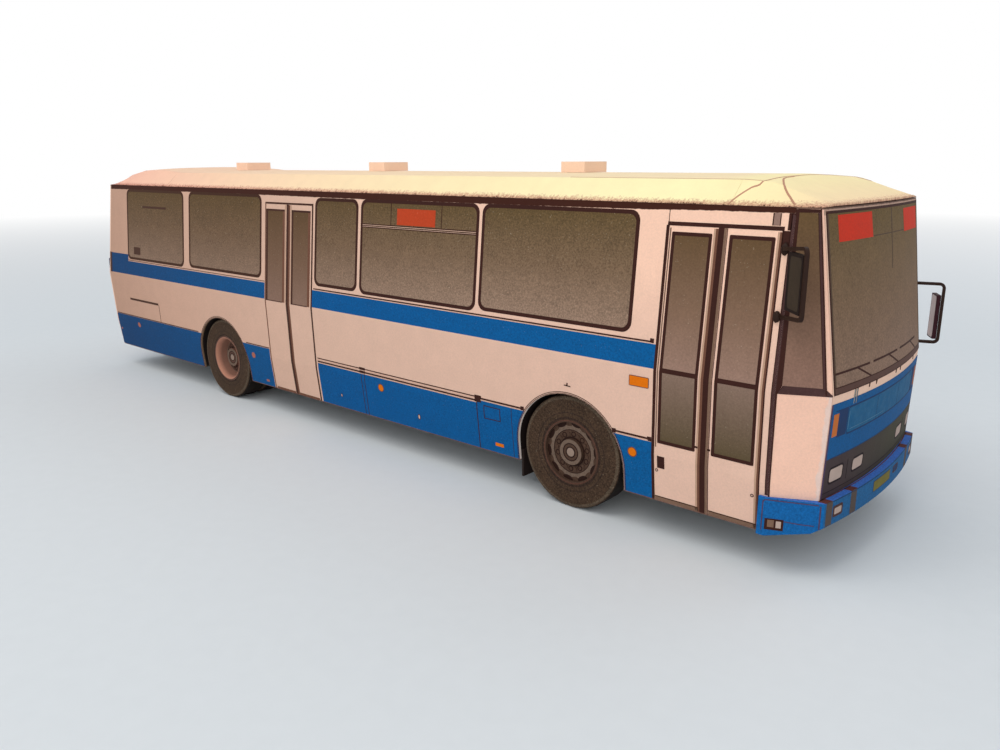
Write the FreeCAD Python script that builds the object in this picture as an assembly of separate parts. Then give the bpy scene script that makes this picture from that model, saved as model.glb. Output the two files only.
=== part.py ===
"""Card model of a two-door city bus, 1:87, as glued sheets on two rolling wheel sets.

Millimetres. X points forward, Y to the left side, Z up. The origin is on the table,
under the middle of the model. Each sheet, roll and wire is written as its own solid.
"""
import FreeCAD, Part
import math
import os

from FreeCAD import Vector

# Sheets and joints
card = 0.25                   # every card sheet
glue_gap = 0.02               # between two sheets that are glued together
overrun = 1.0                 # how far a cutting shape runs past what it cuts

# Body in side view
overall_length = 127.5        # from the bow of the rear wall to the face of the front bumper
side_front_inset = 5.54       # from the bumper face back to the front end of a side sheet
rear_bow = 0.35               # how far the rear wall stands out in its middle
rear_lean_bottom = 0.68       # how far the rear wall is drawn in at its lower edge
rear_lean_roof = 1.19         # and at the roof edge

# Body in cross section: heights of the folds, and half the width at each
height_bottom = 3.62
height_skirt = 8.37
height_belt = 16.48
height_roof = 31.48
half_width_bottom = 13.55
half_width_skirt = 14.1
half_width_belt = 14.37
half_width_roof = 12.97

# Body front in plan: where the corner sheets meet the front sheet, and its bow there
corner_inset_bottom = 1.96
corner_inset_belt = 1.56
corner_inset_roof = 3.58
corner_half_width_bottom = 12.05
corner_half_width_belt = 12.09
corner_half_width_roof = 12.4
front_bow_bottom = 0.93
front_bow_belt = 1.06
front_bow_roof = 0.7

# Lower edge of the body's nose, rising from the front end of the sides in two slopes
nose_knee_inset = 2.04        # from the bumper face back to the change of slope
nose_knee_height = 4.34
nose_front_inset = 1.17       # and to the end of the steeper slope
nose_front_height = 4.95

# Roof: rise above the roof edge, and the crease beside the flat top
roof_rise = 2.4
roof_edge_wall = 0.34         # width of the roof sheet's lower edge
crease_width_share = 0.833
crease_rise_share = 0.85
roof_lip_rise = 0.32          # of both end caps where they meet the walls
front_cap_length = 7.65
rear_cap_length = 19.8
rear_cap_bulge = 0.55
front_cap_station_shares = [(0.0, 1.0), (0.36, 0.92), (0.72, 0.46)]
rear_cap_station_shares = [(0.0, 0.814), (0.25, 0.966), (0.55, 0.94), (0.8, 0.64), (0.94, 0.32)]
roof_facets = 12
bow_facets = 12

# Roof vents, placed along the roof between the two caps
vent_length = 3.2
vent_width = 4.3
vent_height = 1.15
vent_place_shares = {"rear": 0.045, "middle": 0.395, "front": 0.744}

# Wheel sets
front_overhang = 26.87        # from the bumper face back to the front axle
wheelbase = 65.16
tyre_radius = 6.05
tyre_width = 3.2
tyre_rounding = 0.35
wheel_face_half_track = 13.5  # outer faces of the tyres
twin_gap = 0.5                # between the two rear tyres on a side
rim_radius = 3.45
rim_fit = 0.02                # rim in tyre, and rod in rim
front_dish = 0.35             # depth of the front rim face
rear_dish = 1.5
dish_floor_share = 0.72       # radius of the flat floor of the rear dish
hub_radius = 1.38
hub_height = 0.3
rod_radius = 0.4
rod_clearance = 0.05

# Wheel arches and their boxes
arch_clearance = 0.6
arch_drop = 0.3               # from the axle down to the middle of the arch's curve
box_clearance = 0.45          # between a wheel and the inner wall of its box
flap_tab = 1.2                # glued to the box, above the body's lower edge
flap_drop = 1.9               # hanging below it
flap_width = 2.9

# Bumpers
bumper_top = 7.15
bumper_side_start = 6.23      # from the bumper face back to the rear end of its sides
bumper_stand_off = 0.3        # outside the side sheets
bumper_corner_inset = 1.17
bumper_corner_half_width = 12.47
rear_bumper_bottom = 3.77
rear_bumper_depth = 0.45
rear_bumper_half_width = 12.6

# Mirrors, on bent wire brackets that reach forward and out from the front ends of the sides
wire = 0.3
bracket_bend = 0.6            # outer radius of the bracket's two bends
bracket_root_inset = 0.72     # from the front end of a side sheet back to the bracket's root
plate_height = 4.6
plate_thickness = 0.4
right_bracket_drop = 3.14     # from the roof edge down to the bracket's upper edge
right_bracket_height = 5.8
right_bracket_length = 5.2    # from the root to the middle of the bracket's upright
right_bracket_angle = 47.4    # degrees outward from straight ahead
right_bracket_rise = 0.55     # of the arms, from root to end
right_plate_width = 3.0
right_plate_gap = 0.1         # between the bracket's upper arm and the mirror
right_plate_angle = 0         # degrees out of the bracket's plane, about its upright
left_bracket_drop = 8.68
left_bracket_height = 6.44
left_bracket_length = 6.0
left_bracket_angle = 17.5
left_bracket_rise = 0.0
left_plate_width = 2.0
left_plate_gap = 1.05
left_plate_angle = -80

# Worked out from the above
front_x = overall_length / 2
rear_x = -overall_length / 2
side_front_x = front_x - side_front_inset
front_axle_x = front_x - front_overhang
rear_corner_x = rear_x + rear_bow
rear_axle_x = front_axle_x - wheelbase
arch_radius = tyre_radius + arch_clearance
fold_heights = (height_bottom, height_skirt, height_belt, height_roof)
side_profile = [(half_width_bottom, height_bottom), (half_width_skirt, height_skirt),
                (half_width_belt, height_belt), (half_width_roof, height_roof)]


def interpolate(value, table):
    """Straight-line value of a table of (argument, value) pairs, kept level past its ends."""
    if value <= table[0][0]:
        return table[0][1]
    for (a, fa), (b, fb) in zip(table, table[1:]):
        if value <= b:
            return fa + (fb - fa) * (value - a) / (b - a)
    return table[-1][1]


def half_width(height):
    """Half the outside width of the body at a height."""
    return interpolate(height, [(z, y) for y, z in side_profile])


def corner_x(height):
    """Where the front sheet begins, seen from the side."""
    insets = [(height_bottom, corner_inset_bottom), (height_belt, corner_inset_belt),
              (height_roof, corner_inset_roof)]
    return front_x - interpolate(height, insets)


def corner_half_width(height):
    """Half the width of the front sheet."""
    return interpolate(height, [(height_bottom, corner_half_width_bottom),
                                (height_belt, corner_half_width_belt),
                                (height_roof, corner_half_width_roof)])


def front_bow(height):
    """How far the middle of the front sheet stands before its ends."""
    return interpolate(height, [(height_bottom, front_bow_bottom), (height_belt, front_bow_belt),
                                (height_roof, front_bow_roof)])


def rear_end_x(height):
    """Where the rear wall stands at its two corners."""
    leans = [(height_bottom, rear_lean_bottom), (height_belt, 0), (height_roof, rear_lean_roof)]
    return rear_corner_x + interpolate(height, leans)


def prism(points, direction):
    """A flat polygon pushed along a direction."""
    return Part.Face(Part.makePolygon(points + [points[0]])).extrude(direction)


def ruled(wires):
    """A closed solid through flat closed outlines, straight between each two."""
    return Part.makeLoft(wires, True, True)


def outline(points):
    return Part.makePolygon(points + [points[0]])


def mirrored(shape):
    """The same piece on the left side."""
    return shape.mirror(Vector(0, 0, 0), Vector(0, 1, 0))


def save(name, shape):
    shape.exportStep("parts/" + name + ".step")


def normal_in(start, end):
    """Unit direction to the left of a run in plan."""
    run = (end - start).normalize()
    return Vector(-run.y, run.x, 0)


def front_face(height, grow):
    """Points across the front sheet at a height, right to left, moved out by a distance."""
    points = []
    for index in range(bow_facets + 1):
        across = -1 + 2 * index / bow_facets
        points.append(Vector(corner_x(height) + front_bow(height) * (1 - across * across) + grow,
                             (corner_half_width(height) + grow) * across, height))
    return points


def rear_face(height, width, grow):
    """Points across the rear wall at a height, left to right, out to a half width."""
    points = []
    for index in range(bow_facets + 1):
        y = width * (1 - 2 * index / bow_facets)
        across = y / half_width(height)
        points.append(Vector(rear_end_x(height) - rear_bow * (1 - across * across) - grow, y, height))
    return points


def corner_joint(height):
    """Outer and inner point of the joint between a right corner sheet and the front sheet."""
    side = Vector(side_front_x, -half_width(height), height)
    corner, beside = front_face(height, 0)[:2]
    across = normal_in(side, corner)
    along = normal_in(corner, beside)
    mitre = (across + along) * (card / (1 + across.dot(along)))
    return corner, corner + mitre


def corner_sheet():
    """Right corner: a chamfer from the side sheet to the front sheet, folded with the sides."""
    wires = []
    for height in fold_heights:
        side = Vector(side_front_x + glue_gap, -half_width(height), height)
        corner, corner_inner = corner_joint(height)
        run = (corner - side).normalize()
        inward = normal_in(side, corner)
        side_inner = side + inward * card + run * (-inward.x * card / run.x)
        wires.append(outline([side, corner - run * glue_gap, corner_inner - run * glue_gap,
                              side_inner]))
    return ruled(wires).cut(under_nose())


def front_sheet():
    """Front wall, bowed in plan and folded at the belt."""
    wires = []
    for height in fold_heights:
        outer = front_face(height, 0)
        corner, inner_corner = corner_joint(height)
        step = Vector(0, glue_gap, 0)
        outer[0], outer[-1] = corner + step, Vector(corner.x, -corner.y, height) - step
        inner = [point - Vector(card, 0, 0) for point in outer]
        inner[0] = inner_corner + step
        inner[-1] = Vector(inner_corner.x, -inner_corner.y, height) - step
        wires.append(outline(outer + inner[::-1]))
    return ruled(wires).cut(under_nose())


def rear_sheet():
    """Rear wall, bowed in plan, leaning in above and below the belt."""
    wires = []
    for height in fold_heights:
        outer = rear_face(height, half_width(height), 0)
        wires.append(outline(outer + [point + Vector(card, 0, 0) for point in reversed(outer)]))
    return ruled(wires)


def nose_line(lift):
    """The nose's lower edge seen from the side, moved up by a distance."""
    return [Vector(side_front_x, 0, height_bottom + lift),
            Vector(front_x - nose_knee_inset, 0, nose_knee_height + lift),
            Vector(front_x - nose_front_inset, 0, nose_front_height + lift),
            Vector(front_x + overrun, 0, nose_front_height + lift)]


def under_nose():
    """All the room below the nose's lower edge."""
    reach = half_width_belt + overrun
    line = nose_line(0)
    low = height_bottom - overrun
    points = [Vector(line[0].x, 0, low)] + line + [Vector(line[-1].x, 0, low)]
    return prism([p - Vector(0, reach, 0) for p in points], Vector(0, reach + reach, 0))


def inner_profile(distance):
    """The cross section of one side, drawn in by a distance along the normals."""
    normals = []
    for (y0, z0), (y1, z1) in zip(side_profile, side_profile[1:]):
        length = math.hypot(y1 - y0, z1 - z0)
        normals.append((-(z1 - z0) / length, (y1 - y0) / length))
    points = []
    last = len(side_profile) - 1
    for index, (y, z) in enumerate(side_profile):
        before = normals[max(index - 1, 0)]
        after = normals[min(index, last - 1)]
        scale = distance / (1 + before[0] * after[0] + before[1] * after[1])
        points.append((y + (before[0] + after[0]) * scale, z + (before[1] + after[1]) * scale))
    points[0] = (points[0][0], height_bottom)
    points[-1] = (points[-1][0], height_roof)
    return points


def wheel_opening(axle_x, radius, low, near, far):
    """A doorway-shaped block, round from just below the axle, from one place across to another."""
    depth = far - near
    middle = tyre_radius - arch_drop
    top = Part.makeCylinder(radius, depth, Vector(axle_x, near, middle), Vector(0, 1, 0))
    below = Part.makeBox(radius + radius, depth, middle - low, Vector(axle_x - radius, near, low))
    return top.fuse(below).removeSplitter()


def side_sheet():
    """Right side: one sheet folded at the skirt and the belt, open over both wheels."""
    section = [Vector(rear_x, -y, z) for y, z in side_profile]
    section += [Vector(rear_x, -y, z) for y, z in reversed(inner_profile(card))]
    sheet = prism(section, Vector(overall_length, 0, 0))
    rear = [Vector(rear_end_x(z) + card + glue_gap, 0, z)
            for z in (height_bottom, height_belt, height_roof)]
    elevation = rear + [Vector(side_front_x, 0, height_roof), Vector(side_front_x, 0, height_bottom)]
    sheet = sheet.common(prism(elevation, Vector(0, -half_width_belt - overrun, 0)))
    for axle_x in (front_axle_x, rear_axle_x):
        sheet = sheet.cut(wheel_opening(axle_x, arch_radius, height_bottom - overrun,
                                        -half_width_belt - overrun, 0))
    return sheet


def plan_outline(height, grow, back_x):
    """Outline of the body's front part in plan, from a place behind, moved out by a distance."""
    side_y = half_width(height) + grow
    right = [Vector(back_x, -side_y, height), Vector(side_front_x, -side_y, height)]
    left = [Vector(side_front_x, side_y, height), Vector(back_x, side_y, height)]
    return right + front_face(height, grow) + left


def body_form(stand_off):
    """The outside of the body's front half as one block, grown by a small stand-off."""
    return ruled([outline(plan_outline(height, stand_off, 0)) for height in fold_heights])


def roof_section(x, width, rise):
    """Closed outline of the roof sheet across the body, at one place along it."""
    outer, inner = [], []
    for index in range(roof_facets + 1):
        across = -1 + 2 * index / roof_facets
        if abs(across) > crease_width_share:
            share = crease_rise_share * (1 - abs(across)) / (1 - crease_width_share)
        else:
            flat = across / crease_width_share
            share = crease_rise_share + (1 - crease_rise_share) * (1 - flat * flat)
        base = height_roof + glue_gap
        outer.append(Vector(x, width * across, base + rise * share))
        inner.append(Vector(x, (width - roof_edge_wall) * across, base + (rise - card) * share))
    return outline(outer + inner[::-1])


def roof_main():
    """Middle length of the roof, creased along both shoulders."""
    start = rear_end_x(height_roof) + rear_cap_length + glue_gap
    end = corner_x(height_roof) - front_cap_length - glue_gap
    return ruled([roof_section(x, half_width_roof, roof_rise) for x in (start, end)])


def trimmed(cap, plan):
    """A roof cap cut to the walls' plan."""
    return cap.common(prism([Vector(p.x, p.y, height_roof) for p in plan],
                            Vector(0, 0, roof_rise + roof_rise)))


def roof_front_cap():
    """Front end of the roof, falling to the windscreen's upper edge."""
    end = corner_x(height_roof)
    start = end - front_cap_length
    stations = [(start + front_cap_length * along, roof_rise * up)
                for along, up in front_cap_station_shares]
    stations += [(end, roof_lip_rise), (front_x, roof_lip_rise)]
    cap = ruled([roof_section(x, half_width_roof, rise) for x, rise in stations])
    return trimmed(cap, plan_outline(height_roof, 0, start))


def roof_rear_cap():
    """Rear end of the roof, slightly bulged, falling to the rear wall's upper edge."""
    end = rear_end_x(height_roof)
    start = end + rear_cap_length
    peak = roof_rise + rear_cap_bulge
    stations = [(start - rear_cap_length * along, peak * up) for along, up in rear_cap_station_shares]
    stations += [(end, roof_lip_rise), (rear_x, roof_lip_rise)]
    cap = ruled([roof_section(x, half_width_roof, rise) for x, rise in stations])
    plan = rear_face(height_roof, half_width_roof, 0)
    return trimmed(cap, plan + [Vector(start, -half_width_roof, 0), Vector(start, half_width_roof, 0)])


def wheel_inner_y(is_rear):
    """Inner face of a wheel, or of the inner one of a pair."""
    widths = tyre_width + (twin_gap + tyre_width if is_rear else 0)
    return wheel_face_half_track - widths


def box_wall_y(is_rear):
    """Face of the wheel box's inner wall that looks at the wheel."""
    return wheel_inner_y(is_rear) - box_clearance


def inside_prism(distance):
    """The room between the two side sheets, along the whole body."""
    right = [Vector(rear_x, -y, z) for y, z in inner_profile(distance)]
    left = [Vector(rear_x, y, z) for y, z in reversed(inner_profile(distance))]
    return prism(right + left, Vector(overall_length, 0, 0))


def floor_sheet():
    """Underside, between the walls, with a notch for each wheel."""
    low, room = height_bottom, card + glue_gap
    reach = half_width_bottom + overrun
    back = rear_face(low, half_width(low), -room)
    front = [Vector(side_front_x, -reach, low), Vector(side_front_x, reach, low)]
    plate = prism(back + front, Vector(0, 0, card)).common(inside_prism(room))
    for axle_x, is_rear in ((front_axle_x, False), (rear_axle_x, True)):
        wall = box_wall_y(is_rear) - card - glue_gap
        half = arch_radius + card + glue_gap
        for near, far in ((-reach, -wall), (wall, reach)):
            plate = plate.cut(Part.makeBox(half + half, far - near, card + overrun + overrun,
                                           Vector(axle_x - half, near, low - overrun)))
    return plate


def front_apron():
    """Underside of the nose, rising from the floor to the front wall's lower edge."""
    reach = half_width_belt
    lower, upper = nose_line(0), nose_line(card)
    for line in (lower, upper):
        line[0].x += glue_gap
    band = prism([p - Vector(0, reach, 0) for p in lower + upper[::-1]],
                 Vector(0, reach + reach, 0))
    return band.common(body_form(-card - glue_gap - glue_gap - glue_gap))


def wheel_box(axle_x, is_rear):
    """Right wheel box: an arched strip behind the opening, closed by an upright inner wall."""
    wall = box_wall_y(is_rear)
    reach = half_width_belt + overrun
    outer = wheel_opening(axle_x, arch_radius + card, height_bottom, -reach, -wall + card)
    hollow = wheel_opening(axle_x, arch_radius, height_bottom - overrun, -reach - overrun, -wall)
    hole = Part.makeCylinder(rod_radius + rod_clearance, reach + reach,
                             Vector(axle_x, -reach, tyre_radius), Vector(0, 1, 0))
    return outer.cut(hollow).cut(hole).common(inside_prism(card + glue_gap))


def mud_flap():
    """Right flap behind the front wheel, glued to the rear leg of the wheel box."""
    outer_y = half_width_bottom - card - glue_gap
    return Part.makeBox(card, flap_width, flap_drop + flap_tab,
                        Vector(front_axle_x - arch_radius + glue_gap, -outer_y,
                               height_bottom - flap_drop))


def revolved(points):
    """A solid turned about the wheel's axis, from (radius, distance inwards) pairs."""
    face = Part.Face(outline([Vector(radius, depth, 0) for radius, depth in points]))
    return face.revolve(Vector(0, 0, 0), Vector(0, 1, 0), 360)


def tyre():
    """One tyre as a rolled ring, its outer face at zero, its width along +Y."""
    bore = rim_radius + rim_fit
    ring = Part.makeCylinder(tyre_radius, tyre_width, Vector(0, 0, 0), Vector(0, 1, 0))
    rims = [edge for edge in ring.Edges if edge.Curve.TypeId == "Part::GeomCircle"]
    ring = ring.makeFillet(tyre_rounding, rims)
    return ring.cut(Part.makeCylinder(bore, tyre_width + overrun + overrun,
                                      Vector(0, -overrun, 0), Vector(0, 1, 0)))


def front_rim():
    """Front wheel disc with a shallow face and a raised hub."""
    hole = rod_radius + rim_fit
    return revolved([(hole, front_dish + card), (0, front_dish + card), (0, front_dish - hub_height),
                     (hub_radius, front_dish - hub_height), (hub_radius, front_dish),
                     (rim_radius - card, front_dish), (rim_radius - card, 0), (rim_radius, 0),
                     (rim_radius, tyre_width), (hole, tyre_width)])


def rear_rim():
    """Outer rear wheel disc, dished deep, with a hub in the dish."""
    hole = rod_radius + rim_fit
    floor_radius = rim_radius * dish_floor_share
    hub_face = rear_dish - hub_height - hub_height
    return revolved([(hole, rear_dish + card), (0, rear_dish + card), (0, hub_face),
                     (hub_radius, hub_face), (hub_radius, rear_dish), (floor_radius, rear_dish),
                     (rim_radius - card, 0), (rim_radius, 0), (rim_radius, tyre_width),
                     (hole, tyre_width)])


def inner_rim():
    """Plain disc of the inner wheel of a rear pair, with a spacer collar to the outer one."""
    hole = rod_radius + rim_fit
    collar = tyre_width + twin_gap
    return revolved([(hole, glue_gap - twin_gap), (hub_radius, glue_gap - twin_gap), (hub_radius, 0),
                     (rim_radius, 0), (rim_radius, tyre_width), (hole, tyre_width)]), collar


def place_wheel(shape, axle_x, inward):
    """Set a right-hand wheel piece on its axle, its outer face some way in from the track."""
    piece = shape.copy()
    piece.translate(Vector(axle_x, inward - wheel_face_half_track, tyre_radius))
    return piece


def axle_rod(axle_x, dish):
    """Wire axle from wheel disc to wheel disc."""
    end = wheel_face_half_track - dish - card - glue_gap
    return Part.makeCylinder(rod_radius, end + end, Vector(axle_x, -end, tyre_radius), Vector(0, 1, 0))


def front_bumper():
    """Folded box round the front corners."""
    side_y = half_width(bumper_top) + bumper_stand_off
    right = [Vector(front_x - bumper_side_start, -side_y, height_bottom),
             Vector(side_front_x, -side_y, height_bottom)]
    bow = []
    for index in range(bow_facets + 1):
        across = -1 + 2 * index / bow_facets
        bow.append(Vector(front_x - bumper_corner_inset * across * across,
                          bumper_corner_half_width * across, height_bottom))
    left = [Vector(p.x, -p.y, p.z) for p in reversed(right)]
    box = prism(right + bow + left, Vector(0, 0, bumper_top - height_bottom))
    return box.cut(body_form(glue_gap)).cut(under_nose())


def rear_bumper():
    """Flat box across the lower edge of the rear wall."""
    wires = []
    for height in (rear_bumper_bottom, bumper_top):
        back = rear_face(height, rear_bumper_half_width, glue_gap)
        face = [point - Vector(rear_bumper_depth, 0, 0) for point in back]
        wires.append(outline(face + back[::-1]))
    return ruled(wires)


def roof_vent(x):
    """A small lidded box on the roof's middle."""
    base = height_roof + glue_gap + roof_rise
    edge = vent_width / half_width_roof / 2 / crease_width_share
    sink = roof_rise * (1 - crease_rise_share) * edge * edge
    block = Part.makeBox(vent_length, vent_width, vent_height + sink,
                         Vector(x - vent_length / 2, -vent_width / 2, base + glue_gap - sink))
    below = ruled([roof_section(place, half_width_roof, roof_rise + glue_gap)
                   for place in (x - vent_length, x + vent_length)])
    return block.cut(below)


def bent_slab(end, low, top, slope, thickness, bend):
    """An upright slab from behind a bracket's root to its end, rounded at both end corners."""
    points = [Vector(-end, 0, low - slope * end), Vector(end, 0, low + slope * end),
              Vector(end, 0, top + slope * end), Vector(-end, 0, top - slope * end)]
    slab = prism([p - Vector(0, thickness / 2, 0) for p in points], Vector(0, thickness, 0))
    corners = [edge for edge in slab.Edges
               if edge.BoundBox.XMin > 0 and edge.BoundBox.YLength > edge.BoundBox.ZLength]
    return slab.makeFillet(bend, corners)


def mirror(drop, height, length, rise, bracket_angle, plate_width, gap, plate_angle):
    """Wire bracket on the left side in one upright plane, and the mirror held by its end."""
    top = height_roof - drop
    low = top - height
    slope = rise / length
    bracket = bent_slab(length, low, top, slope, wire, bracket_bend)
    bracket = bracket.cut(bent_slab(length - wire, low + wire, top - wire, slope, wire + overrun,
                                    bracket_bend - wire))
    arm_low = top - wire + slope * (length - plate_width)
    plate = Part.makeBox(plate_width, plate_thickness, plate_height,
                         Vector(-plate_width, -plate_thickness / 2, arm_low - gap - plate_height))
    plate.rotate(Vector(0, 0, 0), Vector(0, 0, 1), plate_angle)
    turned_in = plate_thickness / 2 * abs(math.sin(math.radians(plate_angle)))
    plate.translate(Vector(length - wire - glue_gap - turned_in, 0, 0))
    pieces = []
    for piece in (bracket, plate):
        piece.rotate(Vector(0, 0, 0), Vector(0, 0, 1), bracket_angle)
        piece.translate(Vector(side_front_x - bracket_root_inset, half_width(top), 0))
        pieces.append(piece)
    return pieces[0].cut(body_form(glue_gap)), pieces[1]


def write_body():
    for name, shape in (("side_wall", side_sheet()), ("front_corner", corner_sheet())):
        save(name + "_right", shape)
        save(name + "_left", mirrored(shape))
    save("front_wall", front_sheet())
    save("rear_wall", rear_sheet())
    save("roof_main", roof_main())
    save("roof_front_cap", roof_front_cap())
    save("roof_rear_cap", roof_rear_cap())
    save("floor_plate", floor_sheet())
    save("front_bumper", front_bumper())
    save("rear_bumper", rear_bumper())
    save("front_apron", front_apron())
    back = rear_end_x(height_roof) + rear_cap_length
    span = corner_x(height_roof) - front_cap_length - back
    for name, share in vent_place_shares.items():
        save("roof_vent_" + name, roof_vent(back + span * share))
    save("mud_flap_right", mud_flap())
    save("mud_flap_left", mirrored(mud_flap()))
    bracket, plate = mirror(right_bracket_drop, right_bracket_height, right_bracket_length,
                            right_bracket_rise, right_bracket_angle, right_plate_width,
                            right_plate_gap, right_plate_angle)
    save("mirror_bracket_right", mirrored(bracket))
    save("mirror_plate_right", mirrored(plate))
    bracket, plate = mirror(left_bracket_drop, left_bracket_height, left_bracket_length,
                            left_bracket_rise, left_bracket_angle, left_plate_width,
                            left_plate_gap, left_plate_angle)
    save("mirror_bracket_left", bracket)
    save("mirror_plate_left", plate)
    for end, axle_x, is_rear in (("front", front_axle_x, False), ("rear", rear_axle_x, True)):
        box = wheel_box(axle_x, is_rear)
        save("wheel_box_" + end + "_right", box)
        save("wheel_box_" + end + "_left", mirrored(box))


def write_wheel_sets():
    save("axle_front", axle_rod(front_axle_x, front_dish))
    save("axle_rear", axle_rod(rear_axle_x, rear_dish))
    inner, collar = inner_rim()
    pieces = [("tyre_front", tyre(), front_axle_x, 0),
              ("rim_front", front_rim(), front_axle_x, 0),
              ("tyre_rear_outer", tyre(), rear_axle_x, 0),
              ("rim_rear_outer", rear_rim(), rear_axle_x, 0),
              ("tyre_rear_inner", tyre(), rear_axle_x, collar),
              ("rim_rear_inner", inner, rear_axle_x, collar)]
    for name, shape, axle_x, inward in pieces:
        placed = place_wheel(shape, axle_x, inward)
        save(name + "_right", placed)
        save(name + "_left", mirrored(placed))


os.makedirs("parts", exist_ok=True)
write_body()
write_wheel_sets()
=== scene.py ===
"""Looks of the card model bus: its prints, marker lines, wheel details, table, light and camera.

Lengths in the tables are millimetres in the model's frame: X forward, Y left, Z up.
Prints are thin closed plates that lie on the card sheets, each a little prouder than the one
it is printed over.
"""

import math
import random

import bmesh
import bpy
from mathutils import Matrix, Vector


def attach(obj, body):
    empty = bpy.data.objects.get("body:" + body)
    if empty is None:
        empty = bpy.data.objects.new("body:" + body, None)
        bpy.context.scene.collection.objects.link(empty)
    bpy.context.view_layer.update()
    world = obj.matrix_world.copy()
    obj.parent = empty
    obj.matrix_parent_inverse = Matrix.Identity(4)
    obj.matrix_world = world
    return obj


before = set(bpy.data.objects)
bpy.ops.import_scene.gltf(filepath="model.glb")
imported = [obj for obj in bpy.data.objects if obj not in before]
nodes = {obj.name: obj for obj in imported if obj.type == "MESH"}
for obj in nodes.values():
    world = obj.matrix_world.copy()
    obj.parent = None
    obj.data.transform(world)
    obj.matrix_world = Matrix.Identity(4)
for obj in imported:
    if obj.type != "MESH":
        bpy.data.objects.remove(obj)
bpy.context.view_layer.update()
mm = 0.001
chance = random.Random(87)

# The body's sheets, as they are folded
FOLDS = [(3.62, 13.55), (8.37, 14.1), (16.48, 14.37), (31.48, 12.97)]   # height, half width
BOTTOM, SKIRT, BELT, ROOF = (height for height, half in FOLDS)
SIDE_FRONT = 58.21                     # front end of the side sheets
FRONT = 63.75
REAR_CORNER = -63.40
CORNER_INSET = [(BOTTOM, 1.96), (BELT, 1.56), (ROOF, 3.58)]
CORNER_HALF = [(BOTTOM, 12.05), (BELT, 12.09), (ROOF, 12.4)]
FRONT_BOW = [(BOTTOM, 0.93), (BELT, 1.06), (ROOF, 0.7)]
REAR_LEAN = [(BOTTOM, 0.68), (BELT, 0.0), (ROOF, 1.19)]
REAR_BOW = 0.35
FACETS = 12
ROOF_BASE = ROOF + 0.02
ROOF_HALF = 12.97
ROOF_RISE = 2.4
CREASE_WIDTH, CREASE_RISE = 0.833, 0.85
CAP_SEAM_REAR = -42.41
FRONT_CAP = [(52.52, 1.0), (55.274, 0.92), (58.028, 0.46), (60.17, 0.133)]
AXLES = {"front": 36.88, "rear": -28.28}
AXLE_HEIGHT = 6.05
ARCH_RADIUS, ARCH_MIDDLE = 6.65, 5.75
WHEEL_FACE = 13.5
BUMPER_TOP = 7.15
BUMPER_SIDE = 14.26
BUMPER_INSET, BUMPER_HALF = 1.17, 12.47
BUMPER_CORNER = (FRONT - BUMPER_INSET, BUMPER_HALF)

# Print layers: height of the ink above the card
LAYER = [0.012, 0.018, 0.024, 0.030, 0.036]
SINK = 0.03                            # how far a print's back lies in the card
BENT = 0.022                           # more height on the bent front and corner sheets


def along(value, table):
    """Straight-line value of a table of (place, value) pairs, level past its ends."""
    if value <= table[0][0]:
        return table[0][1]
    for (a, fa), (b, fb) in zip(table, table[1:]):
        if value <= b:
            return fa + (fb - fa) * (value - a) / (b - a)
    return table[-1][1]


def half_width(z):
    return along(z, FOLDS)


def facet_bow(share):
    """The bow 1 - share squared, straight between the fold lines of the bowed sheets."""
    k = min(max((share + 1) * FACETS / 2, 0), FACETS)
    low = min(int(k), FACETS - 1)
    a, b = (-1 + 2 * i / FACETS for i in (low, low + 1))
    return (1 - a * a) + ((a * a) - (b * b)) * (k - low)


# Where a flat drawing lies on the model: (u, v, out) to a point in millimetres
def on_side(sign):
    return lambda u, v, out: (u, sign * (half_width(v) + out), v)


def slanted(start, end, sign, u, v, out):
    """A place a share of the way between two points of the plan, pushed outwards."""
    run = Vector(end) - Vector(start)
    point = Vector(start) + run * u + Vector((-run.y, run.x)).normalized() * out
    return point.x, sign * point.y, v


def on_corner(sign):
    """u runs from 0 at the side sheet to 1 at the front sheet."""
    def place(u, v, out):
        end = (FRONT - along(v, CORNER_INSET), along(v, CORNER_HALF))
        return slanted((SIDE_FRONT, half_width(v)), end, sign, u, v, out + BENT)
    return place


def on_front(u, v, out):
    """u runs from -1 at the right corner to 1 at the left corner."""
    bow = along(v, FRONT_BOW) * facet_bow(u)
    return FRONT - along(v, CORNER_INSET) + bow + out + BENT, along(v, CORNER_HALF) * u, v


def on_rear(u, v, out):
    """u is a place across the rear wall, in millimetres."""
    x = REAR_CORNER + along(v, REAR_LEAN) - REAR_BOW * facet_bow(u / half_width(v))
    return x - out, u, v


def on_bumper_side(sign):
    return lambda u, v, out: (u, sign * (BUMPER_SIDE + out), v)


def on_bumper_corner(sign):
    return lambda u, v, out: slanted((SIDE_FRONT, BUMPER_SIDE), BUMPER_CORNER, sign, u, v, out)


def on_bumper_front(u, v, out):
    return FRONT - BUMPER_INSET * (1 - facet_bow(u / BUMPER_HALF)) + out, u, v


def on_bumper_top(u, v, out):
    """u runs across, v from 0 at the bumper's face backwards."""
    return on_bumper_front(u, BUMPER_TOP + out, -v)


def roof_height(x, y):
    share = abs(y) / ROOF_HALF
    if share > CREASE_WIDTH:
        up = CREASE_RISE * (1 - share) / (1 - CREASE_WIDTH)
    else:
        up = CREASE_RISE + (1 - CREASE_RISE) * (1 - (share / CREASE_WIDTH) ** 2)
    rise = ROOF_RISE * along(x, FRONT_CAP) if x > 0 else ROOF_RISE
    return ROOF_BASE + rise * up


def on_roof(u, v, out):
    return u, v, roof_height(u, v) + out


def on_wheel(axle, sign, depth):
    """u and v are measured from the axle, on a face some way in from the tyre's face."""
    return lambda u, v, out: (axle + u, sign * (WHEEL_FACE - depth + out), AXLE_HEIGHT + v)


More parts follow.
